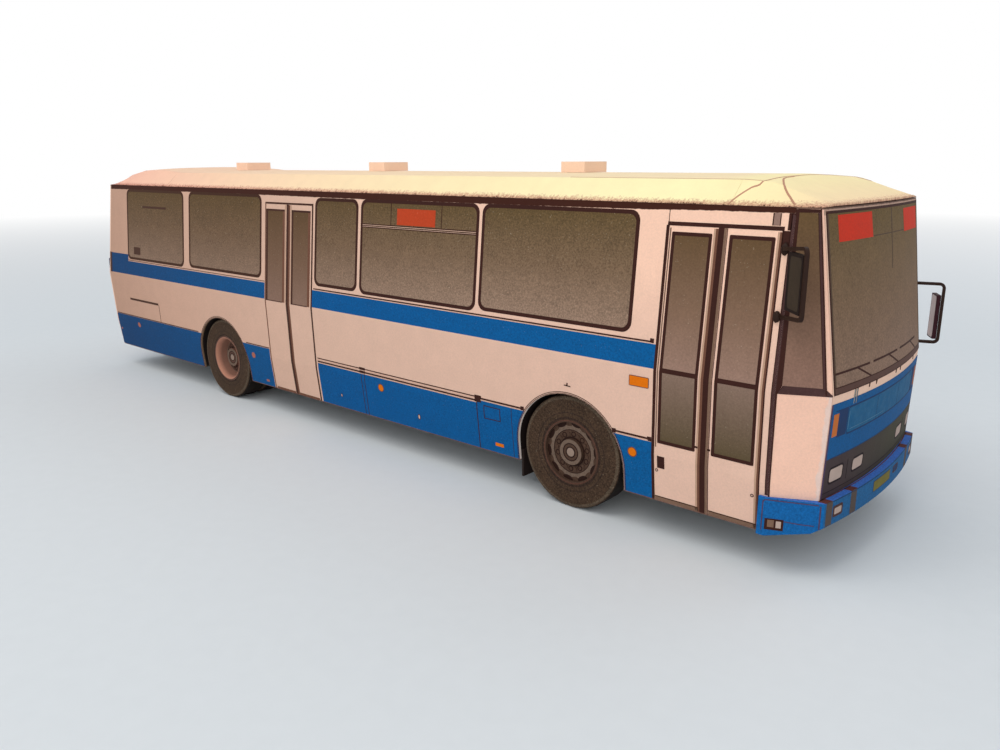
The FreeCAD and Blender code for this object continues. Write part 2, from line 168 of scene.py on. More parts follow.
# Flat drawings, as lists of outlines
def rectangle(u0, u1, v0, v1):
    return [[(u0, v0), (u1, v0), (u1, v1), (u0, v1)]]


def rectangles(*rows):
    return [outline for row in rows for outline in rectangle(*row)]


def rounded(u0, u1, v0, v1, radius, wide=1.0, steps=6):
    """A rectangle with round corners. wide is the width of one unit of u, in millimetres."""
    points = []
    ru = radius / wide
    for cu, cv, start in ((u1 - ru, v0 + radius, -90), (u1 - ru, v1 - radius, 0),
                          (u0 + ru, v1 - radius, 90), (u0 + ru, v0 + radius, 180)):
        for i in range(steps + 1):
            angle = math.radians(start + 90 * i / steps)
            points.append((cu + ru * math.cos(angle), cv + radius * math.sin(angle)))
    return points


def between(outer, inner):
    """Strips between two outlines with the same number of points."""
    n = len(outer)
    return [[outer[i], outer[(i + 1) % n], inner[(i + 1) % n], inner[i]] for i in range(n)]


def circle(u, v, radius, count=32, wave=None):
    points = []
    for i in range(count):
        angle = 2 * math.pi * i / count
        r = radius + (wave(angle) if wave else 0)
        points.append((u + r * math.cos(angle), v + r * math.sin(angle)))
    return points


def ring(outer, inner, count=40, u=0, v=0):
    return between(circle(u, v, outer, count), circle(u, v, inner, count))


def line(points, width):
    """A drawn line of one width through points, mitred at its bends."""
    left, right = [], []
    for i, point in enumerate(points):
        p = Vector(point)
        before = (p - Vector(points[i - 1])).normalized() if i else None
        after = (Vector(points[i + 1]) - p).normalized() if i + 1 < len(points) else None
        before, after = before or after, after or before
        normal = Vector((-before.y, before.x)) + Vector((-after.y, after.x))
        normal = normal.normalized() / max(0.5, normal.length / 2)
        left.append(tuple(p + normal * width / 2))
        right.append(tuple(p - normal * width / 2))
    return [[right[i], right[i + 1], left[i + 1], left[i]] for i in range(len(points) - 1)]


def level(u0, u1, v, width):
    return line([(u0, v), (u1, v)], width)


def both(outlines):
    """The outlines, and again mirrored across u = 0."""
    return outlines + [[(-u, v) for u, v in reversed(outline)] for outline in outlines]


def smooth(points, steps=4):
    """Points on a smooth curve through the given points."""
    ends = [points[0]] + points + [points[-1]]
    curve = []
    for before, start, end, after in zip(ends, ends[1:], ends[2:], ends[3:]):
        a, b, c, d = (Vector(p) for p in (before, start, end, after))
        for i in range(steps):
            t = i / steps
            curve.append(tuple(0.5 * (2 * b + (c - a) * t + (2 * a - 5 * b + 4 * c - d) * t ** 2
                                      + (3 * b - a - 3 * c + d) * t ** 3)))
    return curve + [points[-1]]


# Pieces
inks = {}                              # every material, by its name


def put(name, data):
    """A new object in the scene, at the origin."""
    piece = bpy.data.objects.new(name, data)
    bpy.context.scene.collection.objects.link(piece)
    return piece


def new_piece(name, bm, ink, body):
    bmesh.ops.recalc_face_normals(bm, faces=bm.faces)
    mesh = bpy.data.meshes.new(name)
    bm.to_mesh(mesh)
    bm.free()
    mesh.materials.append(inks[ink])
    piece = put(name, mesh)
    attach(piece, body)
    return piece


def printed(name, drawings, ink, cuts_u=(), cuts_v=(), body="root", slot="body_card"):
    """One print piece from (outlines, place, layer) drawings, each laid on its sheet."""
    whole = bmesh.new()
    for outlines, place, layer in drawings:
        bm = bmesh.new()
        for outline in outlines:
            bm.faces.new([bm.verts.new((u, v, 0)) for u, v in outline])
        bmesh.ops.remove_doubles(bm, verts=bm.verts, dist=1e-5)
        bmesh.ops.triangulate(bm, faces=bm.faces)
        for cuts, normal in ((cuts_u, (1, 0, 0)), (cuts_v, (0, 1, 0))):
            for cut in cuts:
                everything = bm.verts[:] + bm.edges[:] + bm.faces[:]
                bmesh.ops.bisect_plane(bm, geom=everything, dist=1e-6,
                                       plane_co=(cut * normal[0], cut * normal[1], 0),
                                       plane_no=normal)
        raised = bmesh.ops.extrude_face_region(bm, geom=bm.faces[:], use_keep_orig=True)
        top = {item for item in raised["geom"] if isinstance(item, bmesh.types.BMVert)}
        for vert in bm.verts:
            out = LAYER[layer] if vert in top else -SINK
            vert.co = Vector(place(vert.co.x, vert.co.y, out)) * mm
        part = bpy.data.meshes.new("part")
        bm.to_mesh(part)
        bm.free()
        whole.from_mesh(part)
        bpy.data.meshes.remove(part)
    return new_piece(name, whole, ink, body)


def printer(place, ending="", **rest):
    """What prints on one sheet: each piece from its name, outlines, layer and ink."""
    def lay(name, outlines, layer, ink):
        printed(name + ending, [(outlines, place, layer)], ink, **rest)
    return lay


# Materials
BALANCE = (1.0, 1.12, 1.22)            # takes part of a warm lamp's tint out of the colours


def linear(*screen_colour):
    """A colour from the 0-255 screen values it has under a warm lamp."""
    def channel(value, gain):
        share = value / 255
        light = share / 12.92 if share <= 0.04045 else ((share + 0.055) / 1.055) ** 2.4
        return min(1.0, light * gain)
    return tuple(channel(value, gain) for value, gain in zip(screen_colour, BALANCE)) + (1.0,)


class Value:
    """An output in a node tree. Arithmetic on it adds Math nodes."""
    def __init__(self, tree, socket):
        self.tree, self.socket = tree, socket

    def maths(self, operation, *terms):
        return add_node(self.tree, "ShaderNodeMath", {"operation": operation}, dict(enumerate(terms)))

    def __add__(self, other):
        return self.maths("ADD", self, other)

    def __sub__(self, other):
        return self.maths("SUBTRACT", self, other)

    def __rsub__(self, other):
        return self.maths("SUBTRACT", other, self)

    def __mul__(self, other):
        return self.maths("MULTIPLY", self, other)

    def __truediv__(self, other):
        return self.maths("DIVIDE", self, other)

    def __abs__(self):
        return self.maths("ABSOLUTE", self)

    def __pow__(self, other):
        return self.maths("POWER", self, other)

    __radd__ = __add__

    def above(self, edge, blur):
        """0 below the edge, 1 above it, soft over a width."""
        return ((self - edge) / blur + 0.5).clamped()

    def clamped(self):
        return add_node(self.tree, "ShaderNodeClamp", None, {0: self})


def feed(tree, socket, term):
    if isinstance(term, Value):
        tree.links.new(term.socket, socket)
    elif isinstance(term, tuple):
        socket.default_value = term[:len(socket.default_value)]
    else:
        socket.default_value = term


def add_node(tree, kind, settings=None, sockets=None, output=0):
    """A node with its settings and its sockets by name or number, as one of its outputs."""
    node = tree.nodes.new(kind)
    for key, value in (settings or {}).items():
        setattr(node, key, value)
    for key, value in (sockets or {}).items():
        feed(tree, node.inputs[key], value)
    return Value(tree, node.outputs[output])


class Paint:
    """One material: a node tree with model coordinates in millimetres."""
    def __init__(self, name):
        self.material = bpy.data.materials.new(name)
        self.material.use_nodes = True
        self.tree = self.material.node_tree
        self.tree.nodes.clear()
        self.shader = self.tree.nodes.new("ShaderNodeBsdfPrincipled")
        self.output = self.tree.nodes.new("ShaderNodeOutputMaterial").inputs[0]
        self.tree.links.new(self.shader.outputs[0], self.output)
        place = self.add("ShaderNodeTexCoord", output="Object")
        self.place = self.times(place, 1 / mm)
        self.x, self.y, self.z = (self.add("ShaderNodeSeparateXYZ", None, {0: self.place}, axis)
                                  for axis in "XYZ")

    def add(self, *node, **rest):
        return add_node(self.tree, *node, **rest)

    def noise(self, scale, detail=2.0, stretch=(1, 1, 1), roughness=0.5):
        place = self.add("ShaderNodeVectorMath", {"operation": "MULTIPLY"},
                         {0: self.place, 1: stretch})
        return self.add("ShaderNodeTexNoise", None,
                        {"Vector": place, "Scale": scale, "Detail": detail, "Roughness": roughness})

    def mix(self, share, a, b):
        return self.add("ShaderNodeMix", {"data_type": "RGBA"}, {0: share, 6: a, 7: b}, 2)

    def times(self, colour, factor):
        return self.add("ShaderNodeVectorMath", {"operation": "SCALE"}, {0: colour, 3: factor})

    def normal(self, axis):
        """One component of the surface's own direction."""
        facing = self.add("ShaderNodeNewGeometry", output="True Normal")
        facing = self.add("ShaderNodeVectorTransform",
                          {"vector_type": "NORMAL", "convert_from": "WORLD", "convert_to": "OBJECT"},
                          {0: facing})
        return self.add("ShaderNodeSeparateXYZ", None, {0: facing}, axis)

    def finish(self, colour, roughness, height, depth, specular=0.11):
        """Colour, roughness and a relief of some depth in millimetres."""
        bump = self.add("ShaderNodeBump", None,
                        {"Strength": 1.0, "Distance": depth * mm, "Height": height})
        for name, term in (("Base Color", colour), ("Roughness", roughness),
                           ("Specular IOR Level", specular), ("Normal", bump)):
            feed(self.tree, self.shader.inputs[name], term)
        return self.material


# The card and its inks
SPECK = linear(214, 190, 160)
FIBRE_DEPTH = 0.012


def card(name, colour, grain=0.08, mottle=0.06, specks=0.0, roughness=0.7, streaks=0.0):
    """Printed card: ink grain, slow mottling, pale specks where the ink misses, fibre relief.

    The colour is a screen colour, or a function that works one out for a paint."""
    paint = Paint(name)
    colour = colour(paint) if callable(colour) else linear(*colour)
    fine = paint.noise(5.5, 3.0, roughness=0.7)
    slow = paint.noise(0.5, 5.0)
    if specks:
        spots = paint.noise(6.5, 1.0).above(0.74, 0.05)
        colour = paint.mix(spots * specks, colour, SPECK)
    shade = 1 + (fine - 0.5) * (grain * 2) + (slow - 0.5) * (mottle * 2)
    if streaks:
        shade = shade + (paint.noise(1.1, 3.0, stretch=(1, 1, 0.1)) - 0.5) * (streaks * 2)
    fibres = paint.noise(3.0, 4.0, stretch=(1, 1, 1.8), roughness=0.65)
    rough = roughness + (fine - 0.5) * 0.15 + (slow - 0.5) * 0.1
    inks[name] = paint.finish(paint.times(colour, shade), rough, fine * 0.4 + fibres, FIBRE_DEPTH)


PAPER = linear(236, 212, 196)
MARKER = linear(62, 28, 18)
# Brown of the sides' lower edge, and painted shade under the roof's front edge
BROWN_EDGE_AND_SHADE = linear(120, 84, 70)
# The bumper's top, lighter as painted light
LIT_LEDGE_BLUE = linear(62, 104, 174)
# Cut edges towards the rear, in painted shade
REAR_EDGE_SHADE = linear(128, 98, 74)
# Painted light on the side's upper front
LIT_WARM_WHITE = linear(252, 196, 164)
REAR_SHADE = linear(84, 54, 34)
# Ink on the rear rims, and also their painted shade inside the dish
RIM_PRINT_AND_SHADE = linear(92, 62, 50)
RAGGED = (1, 1, 0.2)                   # stretches a noise along the sheets, up and down
# Lower edge of the marker line under the roof: place along the side, height
MARKER_EDGE = [(-63, 30.80), (-16, 30.80), (5, 30.75), (30, 30.80), (44, 30.88), (50, 30.99), (58, 31.03)]


def gradient(axis, *stops):
    """A colour that changes along an axis. Each stop is a place and a screen colour."""
    def colour_at(paint):
        colour = linear(*stops[0][1:])
        for (low, *_), (high, *tone) in zip(stops, stops[1:]):
            share = ((getattr(paint, axis) - low) / (high - low)).clamped()
            colour = paint.mix(share, colour, linear(*tone))
        return colour
    return colour_at


def ramp(value, stops):
    """A number that changes with a value: (place, number) pairs, low to high."""
    total = stops[0][1]
    for (low, start), (high, end) in zip(stops, stops[1:]):
        total = ((value - low) / (high - low)).clamped() * (end - start) + total
    return total


# The white side card painted darker towards the rear and brighter towards the front: painted light and
# shade.
side_white_painted_light = gradient("x", (-62, 192, 144, 118), (-42, 208, 158, 131), (0, 222, 174, 147),
                       (56, 232, 182, 155))


def side_colour(paint):
    """Painted light and shade on the white card: darker towards the rear and lit warmer at the upper
    front. Also pale cut edges, darker towards the rear as painted shade, a brown lower edge, and the
    marker line drawn under the roof.
    """
    # Painted light: the upper front of the side is lit warmer and brighter.
    painted_warm_light = ((paint.z - 18) / 8).clamped() * ((paint.x + 10) / 50).clamped()
    colour = paint.mix(painted_warm_light * 0.9, side_white_painted_light(paint), LIT_WARM_WHITE)
    # Painted shade: the cut edges are darker towards the rear.
    cut_edge = paint.mix(((paint.x + 20) / 10).clamped(), REAR_EDGE_SHADE, PAPER)
    colour = paint.mix(1 - abs(paint.normal("Y")).above(0.8, 0.1), colour, cut_edge)
    ragged = paint.noise(2.2, 3.0, stretch=RAGGED) * 0.14
    colour = paint.mix(1 - (paint.z - ragged).above(BOTTOM + 0.04, 0.05), colour, BROWN_EDGE_AND_SHADE)
    low = ramp(paint.x, MARKER_EDGE)
    return paint.mix((paint.z + ragged - low).above(0.07, 0.06), colour, MARKER)


def under_roof(paint, ragged, colour):
    """The marker line on the sheets' top edge."""
    return paint.mix((paint.z + ragged).above(ROOF - 0.06, 0.08) * 0.85, colour, MARKER)


def corner_colour(paint):
    """Pale cut edges, and a worn strip where the corner sheet meets the front."""
    colour = paint.mix(1 - abs(paint.normal("Y")).above(0.5, 0.1), linear(248, 190, 160), PAPER)
    (low, inset_low), (high, inset_high) = CORNER_INSET[:2]
    edge = FRONT - inset_low + (paint.z - low) * ((inset_low - inset_high) / (high - low))
    rubbed = paint.noise(2.5, 4.0, stretch=(1, 1, 0.35)) * 0.9
    strip = (paint.x - edge + rubbed).above(0.12, 0.12) * (1 - paint.z.above(BELT, 0.3))
    colour = paint.mix(strip * 0.5, colour, linear(222, 200, 188))
    return under_roof(paint, rubbed * 0.15, colour)


def wall_colour(paint):
    """Pale cut edges, painted shade in a strip above the windscreen under the roof's edge, and the marker
    line under the roof.
    """
    colour = paint.mix(abs(paint.normal("Z")).above(0.75, 0.1), linear(242, 191, 161), PAPER)
    ragged = paint.noise(2.2, 3.0, stretch=RAGGED) * 0.14
    # Painted shade in a strip under the roof's front edge
    painted_roof_shade = (paint.z + ragged).above(ROOF - 0.5, 0.12) * paint.x.above(0, 1)
    return under_roof(paint, ragged, paint.mix(painted_roof_shade * 0.5, colour, BROWN_EDGE_AND_SHADE))


# The cream roof card painted yellower and brighter towards the front and pinker towards the rear: painted
# light and shade.
roof_painted_light_along = gradient("x", (-60, 248, 182, 154), (-20, 251, 204, 163), (20, 254, 222, 168),
                      (48, 255, 232, 172), (56, 255, 224, 166), (63, 252, 206, 162))


def roof_colour(paint):
    """Painted light and shade on the cream card: yellower and brighter towards the front, pinker on top
    and towards the rear, with the same marker line rubbed unevenly up its lower edge.
    """
    # Painted shade: the top of the roof, behind the front cap, is pinker and less bright.
    middle = (1 - abs(paint.y).above(10.3, 0.8)) * (1 - paint.x.above(51, 3))
    colour = paint.mix(middle * 0.6, roof_painted_light_along(paint), linear(248, 206, 168))
    teeth = paint.noise(4.6, 4.0, stretch=(1, 1, 0.12), roughness=0.75) * 1.3
    height = paint.z - ROOF_BASE - teeth
    colour = paint.mix((1 - height.above(-0.38, 0.3)) * 0.7, colour, linear(190, 112, 92))
    return paint.mix(1 - height.above(-0.66, 0.16), colour, MARKER)


def bumper_colour(paint):
    """Greener across the front, and a lighter violet on top as painted light on the upward face."""
    colour = paint.mix(paint.normal("X").above(0.85, 0.1), linear(18, 90, 144), linear(34, 88, 128))
    return paint.mix(paint.normal("Z").above(0.7, 0.1), colour, LIT_LEDGE_BLUE)


def panel_colour(paint):
    """A panel with pale blotches where its ink is rubbed."""
    rubbed = paint.noise(1.2, 4.0).above(0.56, 0.3) * paint.noise(7.0, 2.0)
    return paint.mix(rubbed * 0.3, linear(28, 84, 118), linear(92, 130, 144))


def from_axle(paint, axle):
    dx, dz = paint.x - axle, paint.z - AXLE_HEIGHT
    return (dx * dx + dz * dz) ** 0.5


def rear_rim_colour(paint):
    """Bare paper on the dish's wall, darker inwards as painted shade, and ink on its disc and its outer
    edge.
    """
    radius = from_axle(paint, AXLES["rear"])
    flat = abs(paint.normal("Y")).above(0.8, 0.1)
    disc = 1 - radius.above(2.5, 0.1)
    edge = radius.above(3.25, 0.1)
    # Painted shade on the dish's wall, darker inwards
    painted_dish_shade = (1 - radius.above(2.95, 0.3)) * (1 - flat)
    colour = paint.mix(painted_dish_shade * 0.75, linear(190, 128, 102), RIM_PRINT_AND_SHADE)
    return paint.mix(flat * disc.maths("MAXIMUM", disc, edge), colour, RIM_PRINT_AND_SHADE)


def tyre_colour(axle):
    """Thin printed rings on the tyre wall."""
    rings = ((3.62, 0.1, (46, 30, 24)), (4.2, 0.07, (52, 36, 28)), (5.75, 0.16, (90, 72, 56)))

    def colour_at(paint):
        radius = from_axle(paint, axle)
        colour = paint.mix(1 - abs(paint.normal("Y")).above(0.6, 0.2), linear(68, 48, 34),
                           linear(34, 25, 20))
        for middle, width, tone in rings:
            mask = 1 - abs(radius - middle).above(width, 0.06)
            colour = paint.mix(mask * 0.8, colour, linear(*tone))
        return colour
    return colour_at


glass_down = gradient("z", (19.4, 151, 118, 96), (25.0, 121, 92, 68), (30.6, 96, 72, 42))
upper_door_down = gradient("z", (16.6, 152, 115, 96), (22.0, 130, 96, 74), (29.0, 99, 71, 44))


def glass_colour(paint):
    """Darker upwards, and a little darker towards the rear."""
    return paint.mix(((24 - paint.x) / 50).clamped() * 0.3, glass_down(paint), REAR_SHADE)


def upper_door_colour(paint):
    """Darker upwards, and darker on the rear door."""
    return paint.mix((paint.x / -5).clamped() * 0.32, upper_door_down(paint), REAR_SHADE)


# Plain cards and inks: name, screen colour, grain, mottle
for name, colour, grain, mottle in (
        ("vent_card", (250, 204, 172), 0.06, 0.06), ("floor_card", (120, 112, 106), 0.08, 0.06),
        ("dark_card", (40, 28, 24), 0.08, 0.06), ("wheel_box_card", (34, 24, 21), 0.08, 0.06),
        ("front_blue_ink", (20, 80, 125), 0.55, 0.15), ("brown_ink", (112, 70, 52), 0.25, 0.06),
        ("purple_brown_ink", (76, 48, 44), 0.4, 0.4), ("olive_ink", (126, 92, 72), 0.25, 0.2),
        ("tan_ink", (150, 112, 96), 0.2, 0.2), ("maroon_ink", (92, 46, 40), 0.2, 0.2),
        ("windscreen_border_ink", (90, 60, 50), 0.3, 0.2),
        ("windscreen_shade_ink", (84, 62, 46), 0.4, 0.2),
        ("panel_line_ink", (74, 112, 134), 0.3, 0.4), ("bumper_band_ink", (84, 68, 60), 0.3, 0.2),
        ("lamp_rim_ink", (34, 20, 22), 0.2, 0.06), ("navy_ink", (34, 52, 84), 0.15, 0.2),
        ("pale_print", (218, 170, 144), 0.08, 0.06), ("orange_ink", (226, 108, 3), 0.15, 0.06),
        ("front_indicator_ink", (196, 104, 48), 0.08, 0.06),
        ("rear_orange_ink", (172, 98, 76), 0.08, 0.06),
        ("front_display_ink", (204, 50, 27), 0.25, 0.06), ("lamp_ink", (188, 156, 138), 0.08, 0.2),
        ("plate_ink", (116, 100, 42), 0.3, 0.3), ("rim_card", (78, 54, 41), 0.7, 0.06),
        ("rim_light_ink", (112, 88, 72), 0.7, 0.06), ("rim_dark_ink", (42, 22, 15), 0.3, 0.06),
        ("rim_red_ink", (96, 56, 44), 0.4, 0.4), ("hub_ink", (150, 122, 104), 0.08, 0.2),
        # The mirror faces' colours, light on the left and dark on the right, are painted reflections
        ("mirror_card_right", (34, 22, 18), 0.08, 0.06), ("mirror_card_left", (58, 28, 32), 0.08, 0.06),
        ("mirror_face_right", (62, 48, 36), 0.3, 0.3), ("mirror_face_left", (228, 206, 196), 0.08, 0.15),
        ("door_post_ink", (190, 144, 116), 0.08, 0.15), ("violet_line_ink", (78, 58, 80), 0.3, 0.06),
        ("pale_grey_ink", (140, 136, 128), 0.3, 0.3), ("seam_ink", (190, 134, 104), 0.08, 0.2)):
    card(name, colour, grain, mottle)

# Cards and inks whose colour changes from place to place
card("side_card", side_colour, grain=0.14)
card("corner_card", corner_colour, grain=0.14)
card("wall_card", wall_colour, grain=0.14)
card("roof_card", roof_colour, grain=0.04)
card("bumper_card", bumper_colour, grain=0.8)
# The blue ink is painted darker towards the rear: painted shade.
card("blue_ink", gradient("x", (-60, 22, 60, 98), (-16, 10, 76, 122), (0, 3, 79, 130),
                          (50, 4, 84, 134)), grain=0.65, mottle=0.1, specks=0.08)
card("dark_line_ink", gradient("x", (-50, 76, 48, 36), (-12, 70, 40, 30), (10, 58, 28, 21)),
     grain=0.3, mottle=0.2)
card("window_frame_ink", gradient("x", (-50, 70, 42, 28), (-12, 62, 34, 22), (10, 58, 28, 21)),
     grain=0.3)
card("lamp_band_ink", gradient("y", (-9, 68, 52, 50), (4, 66, 58, 42)), grain=0.3, mottle=0.2)
card("grille_panel_ink", panel_colour, grain=0.3)
card("red_ink", (186, 63, 30), grain=0.25, specks=0.15)
card("window_glass_ink", glass_colour, grain=0.95, mottle=0.16, specks=0.3)
card("upper_door_glass_ink", upper_door_colour, grain=0.35, specks=0.2, streaks=0.05)
card("lower_door_glass_ink", gradient("z", (9.7, 90, 71, 47), (16.4, 134, 104, 86)),
     grain=0.35, specks=0.15, streaks=0.05)
card("windscreen_ink", gradient("z", (17, 137, 104, 84), (24, 121, 91, 66), (31, 102, 77, 43)),
     grain=0.8, mottle=0.16, specks=0.1, streaks=0.06)
card("quarter_glass_ink", gradient("z", (17, 143, 104, 86), (24, 119, 86, 65), (31, 101, 73, 44)),
     grain=0.4, mottle=0.12, streaks=0.05)
for end, axle in AXLES.items():
    card("tyre_card_" + end, tyre_colour(axle), grain=1.5, mottle=0.3, specks=0.15)
card("rear_rim_card", rear_rim_colour, grain=0.15)
card("wire_paint", (46, 27, 19), roughness=0.45)

# The card of each node, by the start of its name
look = {"side_wall": "side_card", "front_corner": "corner_card", "front_wall": "wall_card",
        "rear_wall": "wall_card", "roof_vent": "vent_card", "roof": "roof_card",
        "floor_plate": "floor_card", "front_apron": "floor_card", "front_bumper": "bumper_card",
        "rear_bumper": "bumper_card", "mud_flap": "dark_card", "wheel_box": "wheel_box_card",
        "mirror_bracket": "wire_paint", "mirror_plate_right": "mirror_card_right",
        "mirror_plate_left": "mirror_card_left", "axle": "wire_paint",
        "tyre_front": "tyre_card_front", "tyre_rear": "tyre_card_rear",
        "rim_front": "rim_card", "rim_rear": "rear_rim_card"}
for name, node in nodes.items():
    node.data.materials.clear()
    node.data.materials.append(inks[look[max((key for key in look if name.startswith(key)), key=len)]])

# Side prints
FOOT = BOTTOM + 0.1                    # where the ink stops above the sheets' lower edge
BAND = (16.68, 18.92)
SKIRT_TOP = 9.17
WINDOW_FRAME = 0.39
WINDOW_CORNER = 1.0
SPLIT_WINDOW = (4.75, 24.2, 19.4, 30.79)
SPLIT = 27.68
REAR_WINDOWS = [(-56.27, -37.56, 19.32, 30.84), (-35.99, -16.42, 19.45, 30.84)]
FRONT_WINDOWS = [(-4.34, 4.25, 19.55, 30.72), SPLIT_WINDOW, (24.62, 43.96, 19.6, 30.82)]
LEFT_ONLY = [(-15.3, -5.2, 19.58, 30.55), (46.4, 56.6, 17.6, 30.78)]
REAR_DOOR, FRONT_DOOR = (-15.5, -4.95), (46.86, 57.42)


def framed(u0, u1, v0, v1):
    """Glass outline and frame strips of one window."""
    inner = rounded(u0 + WINDOW_FRAME, u1 - WINDOW_FRAME, v0 + WINDOW_FRAME, v1 - WINDOW_FRAME,
                    WINDOW_CORNER - WINDOW_FRAME * 0.6)
    return [inner], between(rounded(u0, u1, v0, v1, WINDOW_CORNER), inner)


def arch(axle, radius, steps=40):
    """Points round a wheel arch, from the foot of its rear leg to that of its front leg."""
    angles = [math.pi * (1 - i / steps) for i in range(steps + 1)]
    curve = [(axle + radius * math.cos(angle), ARCH_MIDDLE + radius * math.sin(angle))
             for angle in angles]
    return [(axle - radius, FOOT)] + curve + [(axle + radius, FOOT)]


def beside_arch(axle, direction, top, far, steps=16):
    """Skirt between an arch and a place before or behind it, under a height."""
    radius = ARCH_RADIUS + 0.12
    limit = math.asin((top - ARCH_MIDDLE) / radius)
    points = [(axle + direction * radius, FOOT)]
    for i in range(steps + 1):
        angle = limit * i / steps
        points.append((axle + direction * radius * math.cos(angle),
                       ARCH_MIDDLE + radius * math.sin(angle)))
    return [points + [(far, top), (far, FOOT)]]


def side_prints(side, sign):
    lay = printer(on_side(sign), "_" + side, cuts_v=(SKIRT, BELT))
    front, rear = AXLES["front"], AXLES["rear"]
    right = side == "right"
    glass, frames = [], []
    for window in REAR_WINDOWS + FRONT_WINDOWS + ([] if right else LEFT_ONLY):
        inner, strips = framed(*window)
        glass += inner
        frames += strips
    lay("window_glass", glass, 0, "window_glass_ink")
    lay("window_frames", frames, 1, "window_frame_ink")

    # Blue band under the windows, and blue skirt between the arches and the doors
    window_end = REAR_WINDOWS[0][0] + 0.07
    blue = rectangle(-63.0, window_end, BAND[0], 20.03)
    middle = -4.45 if right else -20.9
    if right:
        blue += rectangle(window_end, REAR_DOOR[0] - 0.12, *BAND)
        blue += rectangle(REAR_DOOR[1] + 0.1, FRONT_DOOR[0] - 0.12, *BAND)
    else:
        blue += rectangle(window_end, SIDE_FRONT - 0.02, *BAND)
    blue += beside_arch(rear, -1, 9.3, -62.72)
    blue += beside_arch(rear, 1, 9.45, REAR_DOOR[0] - 0.15 if right else middle)
    blue += rectangle(middle, 24.4, FOOT, SKIRT_TOP)
    blue += beside_arch(front, -1, 9.5, 24.4)
    blue += beside_arch(front, 1, 9.55, FRONT_DOOR[0] - 0.14 if right else SIDE_FRONT - 0.75)
    lay("blue_bands", blue, 0, "blue_ink")

    # Rails along both bands: start, end, height, width, and how far a pale shadow line lies under
    lines, pale = [], []
    rail_end = 46.25 if right else SIDE_FRONT - 1.2
    for start, end, height, width, under in (
            (middle, rail_end, 19.12, 0.14, 0.13), (window_end, REAR_DOOR[0] - 0.1, 19.12, 0.08, 0),
            (middle, 24.1, 9.85, 0.12, 0.2), (middle, 24.1, 9.42, 0.18, 0.19),
            (25.0, 30.75, 9.75, 0.18, 0.16), (42.75, rail_end + 0.1, 9.82, 0.18, 0.16),
            (rear + ARCH_RADIUS + 0.1, REAR_DOOR[0] - 0.2, 9.58, 0.12, 0),
            (-62.6, rear - ARCH_RADIUS - 0.1, 9.42, 0.12, 0)):
        lines += level(start, end, height, width)
        if under:
            pale += level(start, end, height - under, 0.08)

    # End blocks of the rails, hatch outlines and other thin dark lines
    lines += rectangles((rail_end - 0.15, rail_end + 0.25, 19.0, 19.42), (4.2, 5.28, 9.24, 10.02),
                        (24.1, 25.05, 9.27, 10.04), (30.75, 31.2, 9.56, 9.98),
                        (42.3, 42.75, 9.62, 10.04), (rail_end, rail_end + 0.45, 9.6, 10.02),
                        (-62.95, -62.3, 16.66, 20.08), (-54.06, -51.82, 20.22, 21.43))
    span = (SPLIT_WINDOW[0] + WINDOW_FRAME, SPLIT_WINDOW[1] - WINDOW_FRAME)
    for points, width in (
            ([(4.5, 9.2), (4.5, FOOT)], 0.08), ([(5.1, 9.2), (5.1, FOOT)], 0.08),
            ([(24.4, 9.25), (24.4, FOOT)], 0.11), ([(29.43, 9.5), (29.43, FOOT)], 0.05),
            ([(25.45, 7.55), (27.78, 7.6), (27.78, 9.02), (25.45, 9.02), (25.45, 7.5)], 0.09),
            ([(-56.84, 12.41), (-47.04, 12.41)], 0.34), ([(-46.87, 12.3), (-46.87, 9.45)], 0.06),
            ([(36.5, 13.34), (37.3, 13.3)], 0.1), ([(36.86, 13.3), (36.9, 13.62)], 0.14)):
        lines += line(points, width)
    for axle in (front, rear):
        lines += line(arch(axle, ARCH_RADIUS + 0.2), 0.06) + line(arch(axle, ARCH_RADIUS + 0.06), 0.05)
    lines += level(*span, SPLIT + 0.2, 0.09) + level(*span, SPLIT - 0.18, 0.1)
    lines += level(*span, SPLIT, 0.06)
    for x in (10.2, 18.55):
        lines += line([(x, SPLIT + 0.2), (x, SPLIT_WINDOW[3] - WINDOW_FRAME)], 0.09)
    lines += level(-50.74, -43.05, 28.08, 0.34)

    def keyhole(x, radius, narrow):
        return [(x + (u - x) * narrow, v) for u, v in circle(x, 5.42, radius, 16)]

    lines += [keyhole(14.63, 0.36, 0.62), keyhole(-0.1, 0.26, 0.62)]
    lay("lines", lines, 3, "dark_line_ink")
    pale += [keyhole(14.63, 0.26, 0.5), keyhole(-0.1, 0.17, 0.5)]
    pale += level(*span, SPLIT + 0.09, 0.05) + level(*span, SPLIT - 0.09, 0.04)
    lay("pale_lines", pale, 4, "pale_print")

    # Round side lamps, and the square ones
    lamp = (44.2, 46.2) if right else (43.0, 45.0)
    round_lamps = ((8.14, 7.95), (44.63, 8.07))
    orange = [circle(x, z, 0.43) for x, z in round_lamps]
    orange += rectangles((*lamp, 14.76, 15.66), (26.8, 28.0, 4.55, 4.93))
    lay("side_lamps", orange, 4, "orange_ink")
    rims = between(rounded(lamp[0] - 0.07, lamp[1] + 0.07, 14.69, 15.73, 0.1),
                   rounded(*lamp, 14.76, 15.66, 0.05))
    for x, z in round_lamps:
        rims += ring(0.52, 0.43, 32, x, z)
    lay("lamp_rims", rims, 4, "brown_ink")
    far = [circle(x, z, 0.43) for x, z in ((-54.96, 8.01), (-19.95, 7.9))]
    far += rectangles((-17.6, -16.9, 4.3, 4.62), (-62.2, -61.86, 6.4, 6.7))
    lay("rear_side_lamps", far, 4, "rear_orange_ink")


